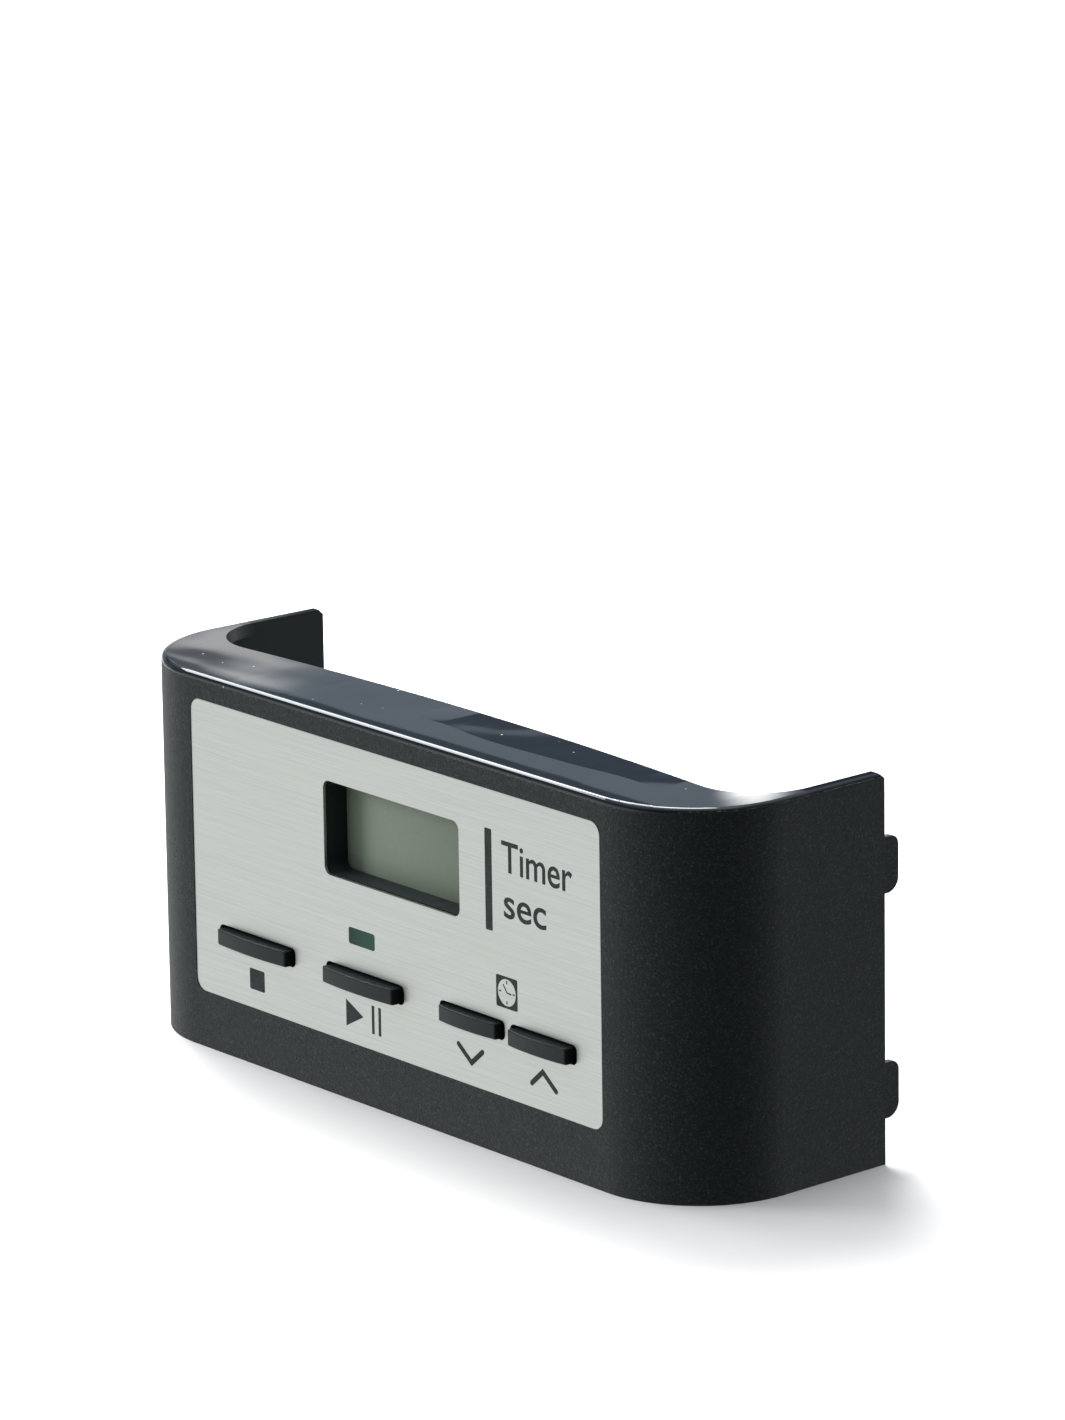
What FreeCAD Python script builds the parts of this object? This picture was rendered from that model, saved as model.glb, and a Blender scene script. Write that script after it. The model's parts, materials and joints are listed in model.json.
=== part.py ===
"""Wrap-around timer panel of a countertop machine, as an assembly of separate pieces.

Every piece is drawn in one local frame: X across the panel, Y from the flat front
plane towards the back, Z up from the bottom edge.  Each finished piece is then placed
so that the origin is under the middle of the whole assembly.  Lengths are millimetres.
"""
import FreeCAD, Part
import math
import os
import re
import Sketcher
from FreeCAD import Placement, Rotation, Vector

doc = FreeCAD.newDocument("TimerPanel")

# ---------------------------------------------------------------- driving dimensions
DIMENSIONS = [
    # outer cover
    ("cover_width", 130.0), ("cover_height", 57.6), ("corner_radius", 17.2),
    ("wing_depth", 37.5), ("wing_splay", 1.8), ("wall", 2.0),
    ("deck_thick", 2.0), ("deck_reach", 16.4), ("deck_bow_radius", 620.0),
    ("deck_corner", 10.0), ("rim_round", 0.8), ("wing_corner_cut", 0.8),
    ("front_place", -19.5),
    # snap lugs on the wing ends
    ("lug_tall", 8.3), ("lug_reach", 3.4), ("lug_root", 3.0), ("lug_thick", 1.0),
    ("lug_inset", 0.9), ("lug_low_z", 6.4), ("lug_high_z", 39.6), ("left_lug_drop", 1.2),
    ("lug_top_round", 1.4), ("lug_low_round", 2.2),
    # faceplate and the layer of glue behind it
    ("plate_width", 93.4), ("plate_tall", 45.0), ("plate_low_z", 8.7),
    ("plate_corner", 2.0), ("plate_thick", 0.5), ("plate_recess", 0.7),
    ("plate_sink", 0.1), ("glue_thick", 0.1), ("glue_margin", 1.0),
    # display window and the tunnel behind it
    ("window_width", 31.0), ("window_tall", 14.2), ("window_x", 0.1),
    ("window_z", 40.3), ("window_corner", 1.3), ("window_lip", 0.15),
    ("tunnel_wall", 1.2), ("tunnel_depth", 4.3),
    # status light window
    ("lamp_width", 6.0), ("lamp_tall", 2.5), ("lamp_x", -7.05), ("lamp_z", 25.1),
    ("lamp_corner", 0.4), ("lens_gap", 0.05), ("lens_flange", 0.8), ("lens_back", 2.8),
    ("lens_pipe_wide", 4.0), ("lens_pipe_tall", 2.0), ("lens_pipe_back", 8.3),
    # push buttons
    ("wide_button", 16.4), ("narrow_button", 13.0), ("button_tall", 2.4),
    ("button_z", 18.45), ("button_crown", 0.45), ("button_corner", 0.5),
    ("button_edge", 0.22), ("stop_x", -31.85), ("start_x", -6.5), ("down_x", 18.0),
    ("up_x", 33.85), ("stop_proud", 1.15), ("start_proud", 1.45),
    ("down_proud", 0.95), ("up_proud", 1.25),
    ("slot_side_gap", 0.85), ("slot_tall", 2.95), ("slot_z", 18.58), ("slot_corner", 0.9),
    ("flange_front", 2.15), ("flange_thick", 1.0), ("flange_side", 0.4),
    ("flange_rise", 0.8), ("stem_radius", 1.3),
    # tactile switches
    ("switch_size", 6.0), ("switch_body", 3.2), ("switch_lid", 0.2),
    ("plunger_radius", 1.7), ("plunger_front", 4.6), ("plunger_back", 7.2),
    ("lid_hole_radius", 1.8), ("dome_well_radius", 2.0), ("dome_well_depth", 1.8),
    ("dome_rise", 0.5), ("dome_thick", 0.1), ("leg_wide", 0.7), ("leg_thick", 0.25),
    ("leg_foot", 1.2), ("leg_rise", 1.6), ("leg_pitch", 4.5),
    # circuit board and its four screws
    ("board_width", 94.0), ("board_low_z", 6.5), ("board_tall", 46.5),
    ("board_front", 9.6), ("board_thick", 1.6), ("board_corner", 2.0),
    ("boss_x", 43.5), ("boss_low_z", 10.5), ("boss_high_z", 49.5),
    ("boss_radius", 3.0), ("boss_hole_radius", 1.12), ("boss_hole_depth", 6.5),
    ("screw_radius", 1.1), ("screw_hole_radius", 1.3), ("screw_reach", 5.5),
    ("screw_head_radius", 2.1), ("screw_head_tall", 1.5), ("screw_cross_wide", 0.6),
    ("screw_cross_long", 2.4), ("screw_cross_depth", 0.9),
    # display stack, front to back
    ("display_wide", 37.0), ("display_tall", 19.0), ("polariser_wide", 32.4),
    ("polariser_tall", 15.6), ("polariser_thick", 0.2), ("polariser_front", 4.35),
    ("glass_thick", 1.1), ("glass_ledge", 2.4), ("frame_front", 4.0),
    ("frame_wall", 1.5), ("frame_gap", 0.15), ("frame_lip_wide", 34.0),
    ("frame_lip_tall", 17.2), ("guide_wide", 31.0), ("guide_tall", 15.5),
    ("guide_thick", 2.5), ("rubber_wide", 33.0), ("rubber_tall", 1.8),
    ("backlight_wide", 1.4), ("backlight_tall", 3.0), ("backlight_thick", 1.6),
    ("led_wide", 3.2), ("led_tall", 2.8), ("led_thick", 1.2),
    # parts on the back of the board
    ("chip_wide", 12.8), ("chip_tall", 7.5), ("chip_thick", 2.3), ("chip_x", 12.0),
    ("chip_z", 33.0), ("chip_stand", 0.15), ("pin_wide", 0.42), ("pin_thick", 0.25),
    ("pin_reach", 1.4), ("pin_pitch", 1.27), ("pin_rise", 1.1),
    ("crystal_wide", 11.4), ("crystal_tall", 4.7), ("crystal_thick", 4.0),
    ("crystal_x", 12.0), ("crystal_z", 22.5), ("crystal_round", 1.8),
    ("can_radius", 3.15), ("can_tall", 7.5), ("can_x", -18.0), ("can_z", 33.0),
    ("can_pitch", 9.0), ("can_groove", 0.5), ("can_base", 6.6), ("can_base_thick", 0.8),
    ("chip_part_wide", 2.0), ("chip_part_tall", 1.25), ("chip_part_thick", 0.6),
    ("chip_part_x", -5.0), ("chip_part_z", 22.0), ("chip_part_pitch", 3.6),
    ("socket_wide", 14.9), ("socket_tall", 5.75), ("socket_deep", 7.0),
    ("socket_wall", 0.9), ("socket_floor", 1.2), ("socket_x", -26.0),
    ("socket_z", 13.5), ("contact_wide", 0.64), ("contact_pitch", 2.5),
    ("contact_back", 5.6), ("contact_front", 1.0),
]

sheet = doc.addObject("Spreadsheet::Sheet", "Sheet")
for row, (alias, number) in enumerate(DIMENSIONS, start=1):
    sheet.set("A%d" % row, alias)
    sheet.set("B%d" % row, str(number))
    sheet.setAlias("B%d" % row, alias)
doc.recompute()

ALIASES = {alias for alias, _ in DIMENSIONS}
BUTTONS = ["stop", "start", "down", "up"]
BUTTON_WIDTH = {"stop": "wide_button", "start": "wide_button",
                "down": "narrow_button", "up": "narrow_button"}
finished = {}


def cell(expression):
    """Turn plain aliases into spreadsheet references: 'wall / 2' -> 'Sheet.wall / 2'."""
    def reference(word):
        return "Sheet." + word.group() if word.group() in ALIASES else word.group()
    return re.sub(r"[a-z]\w*", reference, expression)


def value(expression):
    """Number that an expression of aliases has at present."""
    result = sheet.evalExpression(cell(expression))
    return float(getattr(result, "Value", result))


# ------------------------------------------------------------------- sketch helpers
def new_body(label):
    body = doc.addObject("PartDesign::Body", label)
    body.Label = label
    return body


def plane_of(body, role):
    return next(item for item in body.Origin.OriginFeatures if item.Role == role)


def new_sketch(body, name, role, offset="0"):
    """Sketch on one of the body's own planes, moved by offset along local +Y or +Z/+X."""
    sketch = body.newObject("Sketcher::SketchObject", name)
    sketch.AttachmentSupport = (plane_of(body, role), [""])
    sketch.MapMode = "FlatFace"
    sign = "-" if role == "XZ_Plane" else ""
    sketch.setExpression("AttachmentOffset.Base.z", "%s(%s)" % (sign, cell(offset)))
    return sketch


def bind(sketch, kind, arguments, name, expression):
    """Add a dimension to a sketch and drive it from the spreadsheet."""
    number = value(expression)
    if kind == "Angle":
        number = math.radians(number)
    index = sketch.addConstraint(Sketcher.Constraint(kind, *arguments, number))
    sketch.renameConstraint(index, name)
    unit = " * 1 deg" if kind == "Angle" else ""
    sketch.setExpression("Constraints." + name, "(%s)%s" % (cell(expression), unit))


def rounded_rectangle(sketch, name, middle_x, middle_z, width, tall, corner):
    """Closed rectangle with four equal round corners, all sizes given as expressions."""
    x, z = value(middle_x), value(middle_z)
    half_x, half_z, r = value(width) / 2, value(tall) / 2, value(corner)
    up = Vector(0, 0, 1)
    corners = [(x + half_x - r, z - half_z + r, -90), (x + half_x - r, z + half_z - r, 0),
               (x - half_x + r, z + half_z - r, 90), (x - half_x + r, z - half_z + r, 180)]
    arcs = []
    for cx, cz, start in corners:
        circle = Part.Circle(Vector(cx, cz, 0), up, r)
        first, last = math.radians(start), math.radians(start + 90)
        arcs.append(sketch.addGeometry(Part.ArcOfCircle(circle, first, last), False))
    lines = []
    for k in range(4):
        begin = sketch.getPoint(arcs[k], 2)
        finish = sketch.getPoint(arcs[(k + 1) % 4], 1)
        lines.append(sketch.addGeometry(Part.LineSegment(begin, finish), False))
    for k in range(4):
        sketch.addConstraint(Sketcher.Constraint("Tangent", arcs[k], 2, lines[k], 1))
        sketch.addConstraint(Sketcher.Constraint("Tangent", lines[k], 2, arcs[(k + 1) % 4], 1))
        sketch.addConstraint(Sketcher.Constraint("Vertical" if k % 2 == 0 else "Horizontal", lines[k]))
    for k in range(1, 4):
        sketch.addConstraint(Sketcher.Constraint("Equal", arcs[0], arcs[k]))
    bind(sketch, "Radius", (arcs[0],), name + "_corner", corner)
    inner_w = "(%s) - 2 * (%s)" % (width, corner)
    inner_t = "(%s) - 2 * (%s)" % (tall, corner)
    bind(sketch, "DistanceX", (arcs[3], 3, arcs[0], 3), name + "_width", inner_w)
    bind(sketch, "DistanceY", (arcs[0], 3, arcs[1], 3), name + "_tall", inner_t)
    low_x = "(%s) - (%s) / 2" % (middle_x, inner_w)
    low_z = "(%s) - (%s) / 2" % (middle_z, inner_t)
    bind(sketch, "DistanceX", (-1, 1, arcs[3], 3), name + "_x", low_x)
    bind(sketch, "DistanceY", (-1, 1, arcs[3], 3), name + "_z", low_z)


def circle(sketch, name, x, z, radius):
    """Circle placed and sized by expressions."""
    shape = Part.Circle(Vector(value(x), value(z), 0), Vector(0, 0, 1), value(radius))
    index = sketch.addGeometry(shape, False)
    bind(sketch, "Radius", (index,), name + "_radius", radius)
    bind(sketch, "DistanceX", (-1, 1, index, 3), name + "_x", x)
    bind(sketch, "DistanceY", (-1, 1, index, 3), name + "_z", z)


def pad(body, sketch, name, length, backwards=False):
    feature = body.newObject("PartDesign::Pad", name)
    feature.Profile = sketch
    feature.setExpression("Length", cell(length))
    feature.Reversed = backwards
    doc.recompute()
    if feature.Shape.isNull() or not feature.isValid():
        raise RuntimeError("pad %s failed: %s" % (name, feature.getStatusString()))
    return feature


def pocket(body, sketch, name, length, backwards=False):
    """Cut a sketch into the body and make sure that it really removed material."""
    before = body.Tip.Shape.Volume
    feature = body.newObject("PartDesign::Pocket", name)
    feature.Profile = sketch
    feature.setExpression("Length", cell(length))
    feature.Reversed = backwards
    doc.recompute()
    if feature.Shape.Volume > before - 1e-6:
        raise RuntimeError("pocket %s cut nothing" % name)
    return feature


def dress(body, kind, name, size, keep):
    """Fillet or chamfer every edge of the body's tip that keep(edge) accepts."""
    base = body.Tip
    picked = ["Edge%d" % (i + 1) for i, edge in enumerate(base.Shape.Edges) if keep(edge)]
    if not picked:
        raise RuntimeError("no edge for " + name)
    feature = body.newObject("PartDesign::" + kind, name)
    feature.Base = (base, picked)
    feature.setExpression("Radius" if kind == "Fillet" else "Size", cell(size))
    doc.recompute()
    if feature.Shape.isNull() or not feature.isValid():
        raise RuntimeError("%s failed: %s" % (name, feature.getStatusString()))
    return feature


# ---------------------------------------------------------------- primitive helpers
def primitive(kind, name, sizes, at, turn=None):
    """Part primitive whose sizes and place are expressions of the driving dimensions."""
    item = doc.addObject("Part::" + kind, name)
    for key, expression in sizes.items():
        item.setExpression(key, cell(expression))
    if turn is not None:
        item.Placement = Placement(Vector(0, 0, 0), turn)
    for axis, expression in zip("xyz", at):
        item.setExpression("Placement.Base." + axis, cell(expression))
    return item


def centred_box(name, middle_x, front_y, middle_z, width, depth, tall):
    """Box centred on X and Z whose front face is at front_y."""
    at = ("(%s) - (%s) / 2" % (middle_x, width), front_y,
          "(%s) - (%s) / 2" % (middle_z, tall))
    return primitive("Box", name, {"Length": width, "Width": depth, "Height": tall}, at)


def rod(name, x, front_y, z, radius, depth):
    """Cylinder along +Y that starts at front_y."""
    turn = Rotation(Vector(1, 0, 0), -90)
    return primitive("Cylinder", name, {"Radius": radius, "Height": depth}, (x, front_y, z), turn)


def boolean(kind, name, base, tool):
    item = doc.addObject("Part::" + kind, name)
    item.Base = base
    item.Tool = tool
    return item


def group(label, members):
    item = doc.addObject("Part::Compound", label)
    item.Links = members
    return item


def finish(label, item):
    """Name a finished piece and move it from the local frame into the assembly's frame."""
    item.Label = label
    own_y = dict(item.ExpressionEngine).get(".Placement.Base.y", "0")
    item.setExpression("Placement.Base.y", "%s + %s" % (own_y, cell("front_place")))
    finished[label] = item


# --------------------------------------------------------------------- front cover
def wing_x(inset, depth):
    """Half width of the cover, less inset, at a depth on its tapering wings."""
    return ("cover_width / 2 - corner_radius + (corner_radius - (%s)) / cos(wing_splay * 1 deg)"
            " - ((%s) - corner_radius) * tan(wing_splay * 1 deg)" % (inset, depth))


def wrap_outline(sketch, inset, depth):
    """U-shaped plan closed across the back: flat front, two round corners, two wings."""
    centre_x, centre_y = value("cover_width / 2 - corner_radius"), value("corner_radius")
    radius, back = value("corner_radius - (%s)" % inset), value(depth)
    splay, rear_x = math.radians(value("wing_splay")), value(wing_x(inset, depth))
    up = Vector(0, 0, 1)
    right_circle = Part.Circle(Vector(centre_x, centre_y, 0), up, radius)
    left_circle = Part.Circle(Vector(-centre_x, centre_y, 0), up, radius)
    right = sketch.addGeometry(Part.ArcOfCircle(right_circle, -math.pi / 2, splay), False)
    left = sketch.addGeometry(Part.ArcOfCircle(left_circle, math.pi - splay, 1.5 * math.pi), False)
    points = [sketch.getPoint(right, 2), Vector(rear_x, back, 0),
              Vector(-rear_x, back, 0), sketch.getPoint(left, 1)]
    right_wing, rear, left_wing = [
        sketch.addGeometry(Part.LineSegment(points[k], points[k + 1]), False) for k in range(3)]
    front = sketch.addGeometry(
        Part.LineSegment(sketch.getPoint(left, 2), sketch.getPoint(right, 1)), False)
    for pair in [(left, 2, front, 1), (front, 2, right, 1),
                 (right, 2, right_wing, 1), (left_wing, 2, left, 1)]:
        sketch.addConstraint(Sketcher.Constraint("Tangent", *pair))
    sketch.addConstraint(Sketcher.Constraint("Coincident", right_wing, 2, rear, 1))
    sketch.addConstraint(Sketcher.Constraint("Coincident", rear, 2, left_wing, 1))
    sketch.addConstraint(Sketcher.Constraint("Equal", right, left))
    sketch.addConstraint(Sketcher.Constraint("Symmetric", right, 3, left, 3, -2))
    sketch.addConstraint(Sketcher.Constraint("Symmetric", rear, 1, rear, 2, -2))
    bind(sketch, "Radius", (right,), "corner", "corner_radius - (%s)" % inset)
    bind(sketch, "DistanceX", (-1, 1, right, 3), "centre_x", "cover_width / 2 - corner_radius")
    bind(sketch, "DistanceY", (-1, 1, right, 3), "centre_y", "corner_radius")
    bind(sketch, "DistanceY", (-1, 1, rear, 1), "depth", depth)
    bind(sketch, "Angle", (right_wing,), "splay", "90 + wing_splay")


def deck_opening_outline(sketch, depth):
    """Gap behind the top deck: bowed deck edge, two round corners, the wings' inner faces."""
    bow, reach, r = value("deck_bow_radius"), value("deck_reach"), value("deck_corner")
    splay, rear_x, back = math.radians(value("wing_splay")), value(wing_x("wall", depth)), value(depth)
    up = Vector(0, 0, 1)
    # the round corner is tangent to the wing's face and, from behind, to the bowed edge
    normal = Vector(math.cos(splay), math.sin(splay), 0)
    along = Vector(-math.sin(splay), math.cos(splay), 0)
    corner_y = reach + r - 1.5
    start = Vector(rear_x, back, 0) - normal * r
    centre = start + along * ((corner_y - start.y) / along.y)
    bow_centre = Vector(0, reach - bow, 0)
    down = (bow_centre - centre).normalize()
    low = math.atan2(down.y, down.x)
    right = sketch.addGeometry(Part.ArcOfCircle(Part.Circle(centre, up, r), low, splay), False)
    mirrored = Vector(-centre.x, centre.y, 0)
    left = sketch.addGeometry(
        Part.ArcOfCircle(Part.Circle(mirrored, up, r), math.pi - splay, math.pi - low), False)
    half = math.asin(sketch.getPoint(right, 1).x / bow)
    edge = sketch.addGeometry(
        Part.ArcOfCircle(Part.Circle(bow_centre, up, bow), math.pi / 2 - half, math.pi / 2 + half), False)
    points = [sketch.getPoint(right, 2), Vector(rear_x, back, 0),
              Vector(-rear_x, back, 0), sketch.getPoint(left, 1)]
    right_wing, rear, left_wing = [
        sketch.addGeometry(Part.LineSegment(points[k], points[k + 1]), False) for k in range(3)]
    for pair in [(right, 2, right_wing, 1), (left_wing, 2, left, 1),
                 (edge, 1, right, 1), (left, 2, edge, 2)]:
        sketch.addConstraint(Sketcher.Constraint("Tangent", *pair))
    sketch.addConstraint(Sketcher.Constraint("Coincident", right_wing, 2, rear, 1))
    sketch.addConstraint(Sketcher.Constraint("Coincident", rear, 2, left_wing, 1))
    sketch.addConstraint(Sketcher.Constraint("Equal", right, left))
    sketch.addConstraint(Sketcher.Constraint("Symmetric", rear, 1, rear, 2, -2))
    sketch.addConstraint(Sketcher.Constraint("Symmetric", right, 3, left, 3, -2))
    bind(sketch, "Radius", (right,), "corner", "deck_corner")
    bind(sketch, "Radius", (edge,), "bow", "deck_bow_radius")
    bind(sketch, "DistanceY", (-1, 1, edge, 3), "bow_centre", "deck_reach - deck_bow_radius")
    bind(sketch, "DistanceX", (-1, 1, rear, 1), "rear_x", wing_x("wall", depth))
    bind(sketch, "DistanceY", (-1, 1, rear, 1), "depth", depth)
    bind(sketch, "Angle", (right_wing,), "splay", "90 + wing_splay")


def outer_top_edge(edge):
    """True for the edges around the outside of the cover's top, except across its back."""
    height, radius = value("cover_height"), value("corner_radius")
    centre_x = value("cover_width / 2 - corner_radius")
    if any(abs(vertex.Z - height) > 1e-4 for vertex in edge.Vertexes):
        return False
    if edge.Length < 2 * value("wall"):
        return False
    point = edge.valueAt((edge.FirstParameter + edge.LastParameter) / 2)
    if abs(point.x) < centre_x:
        return point.y < 0.5
    if point.y < radius:
        return math.hypot(abs(point.x) - centre_x, point.y - radius) > radius - 0.5
    return abs(point.x) > value(wing_x("wall / 2", "wing_depth"))


def wing_rear_top_edge(edge):
    """True for the short top edge at the end of each wing."""
    height, back = value("cover_height"), value("wing_depth")
    middle = edge.CenterOfMass
    return abs(middle.z - height) < 1e-4 and abs(middle.y - back) < 1e-4


def button_slots(sketch):
    for name in BUTTONS:
        width = BUTTON_WIDTH[name] + " + 2 * slot_side_gap"
        rounded_rectangle(sketch, name, name + "_x", "slot_z", width, "slot_tall", "slot_corner")


def lamp_slot(sketch):
    rounded_rectangle(sketch, "lamp", "lamp_x", "lamp_z", "lamp_width", "lamp_tall", "lamp_corner")


def lug_outline(sketch, name, low_z):
    """Snap lug seen from the side: square root inside the wing, round free corners."""
    z, tall = value(low_z), value("lug_tall")
    root, tip = value("wing_depth - lug_root"), value("wing_depth + lug_reach")
    low_r, top_r = value("lug_low_round"), value("lug_top_round")
    up = Vector(0, 0, 1)
    low = sketch.addGeometry(Part.ArcOfCircle(
        Part.Circle(Vector(tip - low_r, z + low_r, 0), up, low_r), -math.pi / 2, 0), False)
    top = sketch.addGeometry(Part.ArcOfCircle(
        Part.Circle(Vector(tip - top_r, z + tall - top_r, 0), up, top_r), 0, math.pi / 2), False)
    corners = [sketch.getPoint(top, 2), Vector(root, z + tall, 0),
               Vector(root, z, 0), sketch.getPoint(low, 1)]
    upper, back, lower = [
        sketch.addGeometry(Part.LineSegment(corners[k], corners[k + 1]), False) for k in range(3)]
    end = sketch.addGeometry(
        Part.LineSegment(sketch.getPoint(low, 2), sketch.getPoint(top, 1)), False)
    for pair in [(low, 2, end, 1), (end, 2, top, 1), (top, 2, upper, 1), (lower, 2, low, 1)]:
        sketch.addConstraint(Sketcher.Constraint("Tangent", *pair))
    sketch.addConstraint(Sketcher.Constraint("Coincident", upper, 2, back, 1))
    sketch.addConstraint(Sketcher.Constraint("Coincident", back, 2, lower, 1))
    sketch.addConstraint(Sketcher.Constraint("Vertical", back))
    sketch.addConstraint(Sketcher.Constraint("Vertical", end))
    sketch.addConstraint(Sketcher.Constraint("Horizontal", upper))
    bind(sketch, "Radius", (low,), name + "_low_round", "lug_low_round")
    bind(sketch, "Radius", (top,), name + "_top_round", "lug_top_round")
    bind(sketch, "DistanceX", (-1, 1, back, 2), name + "_root", "wing_depth - lug_root")
    bind(sketch, "DistanceY", (-1, 1, back, 2), name + "_low", low_z)
    bind(sketch, "DistanceY", (back, 2, back, 1), name + "_tall", "lug_tall")
    bind(sketch, "DistanceX", (back, 2, end, 1), name + "_long", "lug_root + lug_reach")


def make_front_cover():
    body = new_body("front_cover")
    outline = new_sketch(body, "CoverOutline", "XY_Plane")
    wrap_outline(outline, "0", "wing_depth")
    pad(body, outline, "CoverBlock", "cover_height")

    cavity = new_sketch(body, "CavityOutline", "XY_Plane")
    wrap_outline(cavity, "wall", "wing_depth + 1")
    pocket(body, cavity, "Cavity", "cover_height - deck_thick", backwards=True)

    opening = new_sketch(body, "DeckOpeningOutline", "XY_Plane", "cover_height")
    deck_opening_outline(opening, "wing_depth + 1")
    pocket(body, opening, "DeckOpening", "deck_thick + 1")

    dress(body, "Chamfer", "WingCorners", "wing_corner_cut", wing_rear_top_edge)
    dress(body, "Fillet", "RimRound", "rim_round", outer_top_edge)

    for side, sign in (("Right", 1), ("Left", -1)):
        inner_face = wing_x("lug_inset + lug_thick", "wing_depth")
        place = inner_face if sign > 0 else "-(%s) - lug_thick" % inner_face
        drop = "" if sign > 0 else " - left_lug_drop"
        for level in ("low", "high"):
            lug = new_sketch(body, side + level.title() + "LugOutline", "YZ_Plane", place)
            lug_outline(lug, level, "lug_%s_z%s" % (level, drop))
            pad(body, lug, side + level.title() + "Lug", "lug_thick")

    bosses = new_sketch(body, "BossCircles", "XZ_Plane", "wall / 2")
    holes = new_sketch(body, "BossHoles", "XZ_Plane", "board_front")
    for side, x in (("right", "boss_x"), ("left", "-boss_x")):
        for level in ("low", "high"):
            circle(bosses, side + level, x, "boss_%s_z" % level, "boss_radius")
            circle(holes, side + level, x, "boss_%s_z" % level, "boss_hole_radius")
    pad(body, bosses, "Bosses", "board_front - wall / 2", backwards=True)
    pocket(body, holes, "BossBores", "boss_hole_depth", backwards=True)

    tunnel = new_sketch(body, "TunnelOutline", "XZ_Plane", "wall / 2")
    rounded_rectangle(tunnel, "tunnel", "window_x", "window_z",
                      "window_width + 2 * tunnel_wall", "window_tall + 2 * tunnel_wall",
                      "window_corner + tunnel_wall")
    pad(body, tunnel, "Tunnel", "tunnel_depth - wall / 2", backwards=True)
    window = new_sketch(body, "WindowOutline", "XZ_Plane")
    rounded_rectangle(window, "window", "window_x", "window_z", "window_width - 2 * window_lip",
                      "window_tall - 2 * window_lip", "window_corner")
    pocket(body, window, "Window", "tunnel_depth + 1")

    recess = new_sketch(body, "PlateRecessOutline", "XZ_Plane")
    rounded_rectangle(recess, "recess", "0", "plate_low_z + plate_tall / 2",
                      "plate_width + 2 * lens_gap", "plate_tall + 2 * lens_gap", "plate_corner")
    pocket(body, recess, "PlateRecess", "plate_recess")
    slots = new_sketch(body, "ButtonSlots", "XZ_Plane")
    button_slots(slots)
    lamp_slot(slots)
    pocket(body, slots, "Slots", "wall + 1")
    finish("front_cover", body)


# ------------------------------------------------------- faceplate, glue, lamp lens
def make_faceplate():
    body = new_body("faceplate")
    outline = new_sketch(body, "PlateOutline", "XZ_Plane", "plate_sink")
    rounded_rectangle(outline, "plate", "0", "plate_low_z + plate_tall / 2",
                      "plate_width", "plate_tall", "plate_corner")
    pad(body, outline, "Plate", "plate_thick", backwards=True)
    openings = new_sketch(body, "PlateOpenings", "XZ_Plane")
    rounded_rectangle(openings, "window", "window_x", "window_z",
                      "window_width", "window_tall", "window_corner")
    button_slots(openings)
    lamp_slot(openings)
    pocket(body, openings, "Openings", "plate_recess + 1")
    finish("faceplate", body)


def make_faceplate_glue():
    """Adhesive film, set back from the plate's edge and from every opening."""
    body = new_body("faceplate_glue")
    outline = new_sketch(body, "GlueOutline", "XZ_Plane", "plate_sink + plate_thick")
    rounded_rectangle(outline, "glue", "0", "plate_low_z + plate_tall / 2",
                      "plate_width - 2 * glue_margin", "plate_tall - 2 * glue_margin",
                      "plate_corner")
    pad(body, outline, "Film", "glue_thick", backwards=True)
    openings = new_sketch(body, "GlueOpenings", "XZ_Plane")
    rounded_rectangle(openings, "window", "window_x", "window_z",
                      "window_width + 2 * glue_margin", "window_tall + 2 * glue_margin",
                      "window_corner")
    rounded_rectangle(openings, "lamp", "lamp_x", "lamp_z", "lamp_width + 2 * glue_margin",
                      "lamp_tall + 2 * glue_margin", "lamp_corner")
    # one long gap clears all four buttons
    row_wide = "up_x - stop_x + (wide_button + narrow_button) / 2 + 2 * (slot_side_gap + glue_margin)"
    row_middle = "(up_x + narrow_button / 2 + stop_x - wide_button / 2) / 2"
    rounded_rectangle(openings, "buttons", row_middle, "slot_z", row_wide,
                      "slot_tall + 2 * glue_margin", "slot_corner")
    pocket(body, openings, "Openings", "plate_recess + 1")
    finish("faceplate_glue", body)


def make_led_lens():
    """Tinted lens flush with the faceplate, with a flange and a light pipe behind it."""
    body = new_body("led_lens")
    face = new_sketch(body, "LensFace", "XZ_Plane", "plate_sink")
    rounded_rectangle(face, "face", "lamp_x", "lamp_z", "lamp_width - 2 * lens_gap",
                      "lamp_tall - 2 * lens_gap", "lamp_corner - lens_gap")
    pad(body, face, "Face", "lens_back - plate_sink", backwards=True)
    flange = new_sketch(body, "LensFlange", "XZ_Plane", "wall")
    rounded_rectangle(flange, "flange", "lamp_x", "lamp_z", "lamp_width + 2 * lens_flange",
                      "lamp_tall + 2 * lens_flange", "lamp_corner")
    pad(body, flange, "Flange", "lens_back - wall", backwards=True)
    pipe = new_sketch(body, "LensPipe", "XZ_Plane", "wall")
    rounded_rectangle(pipe, "pipe", "lamp_x", "lamp_z", "lens_pipe_wide", "lens_pipe_tall",
                      "lamp_corner")
    pad(body, pipe, "Pipe", "lens_pipe_back - wall", backwards=True)
    finish("led_lens", body)


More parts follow.
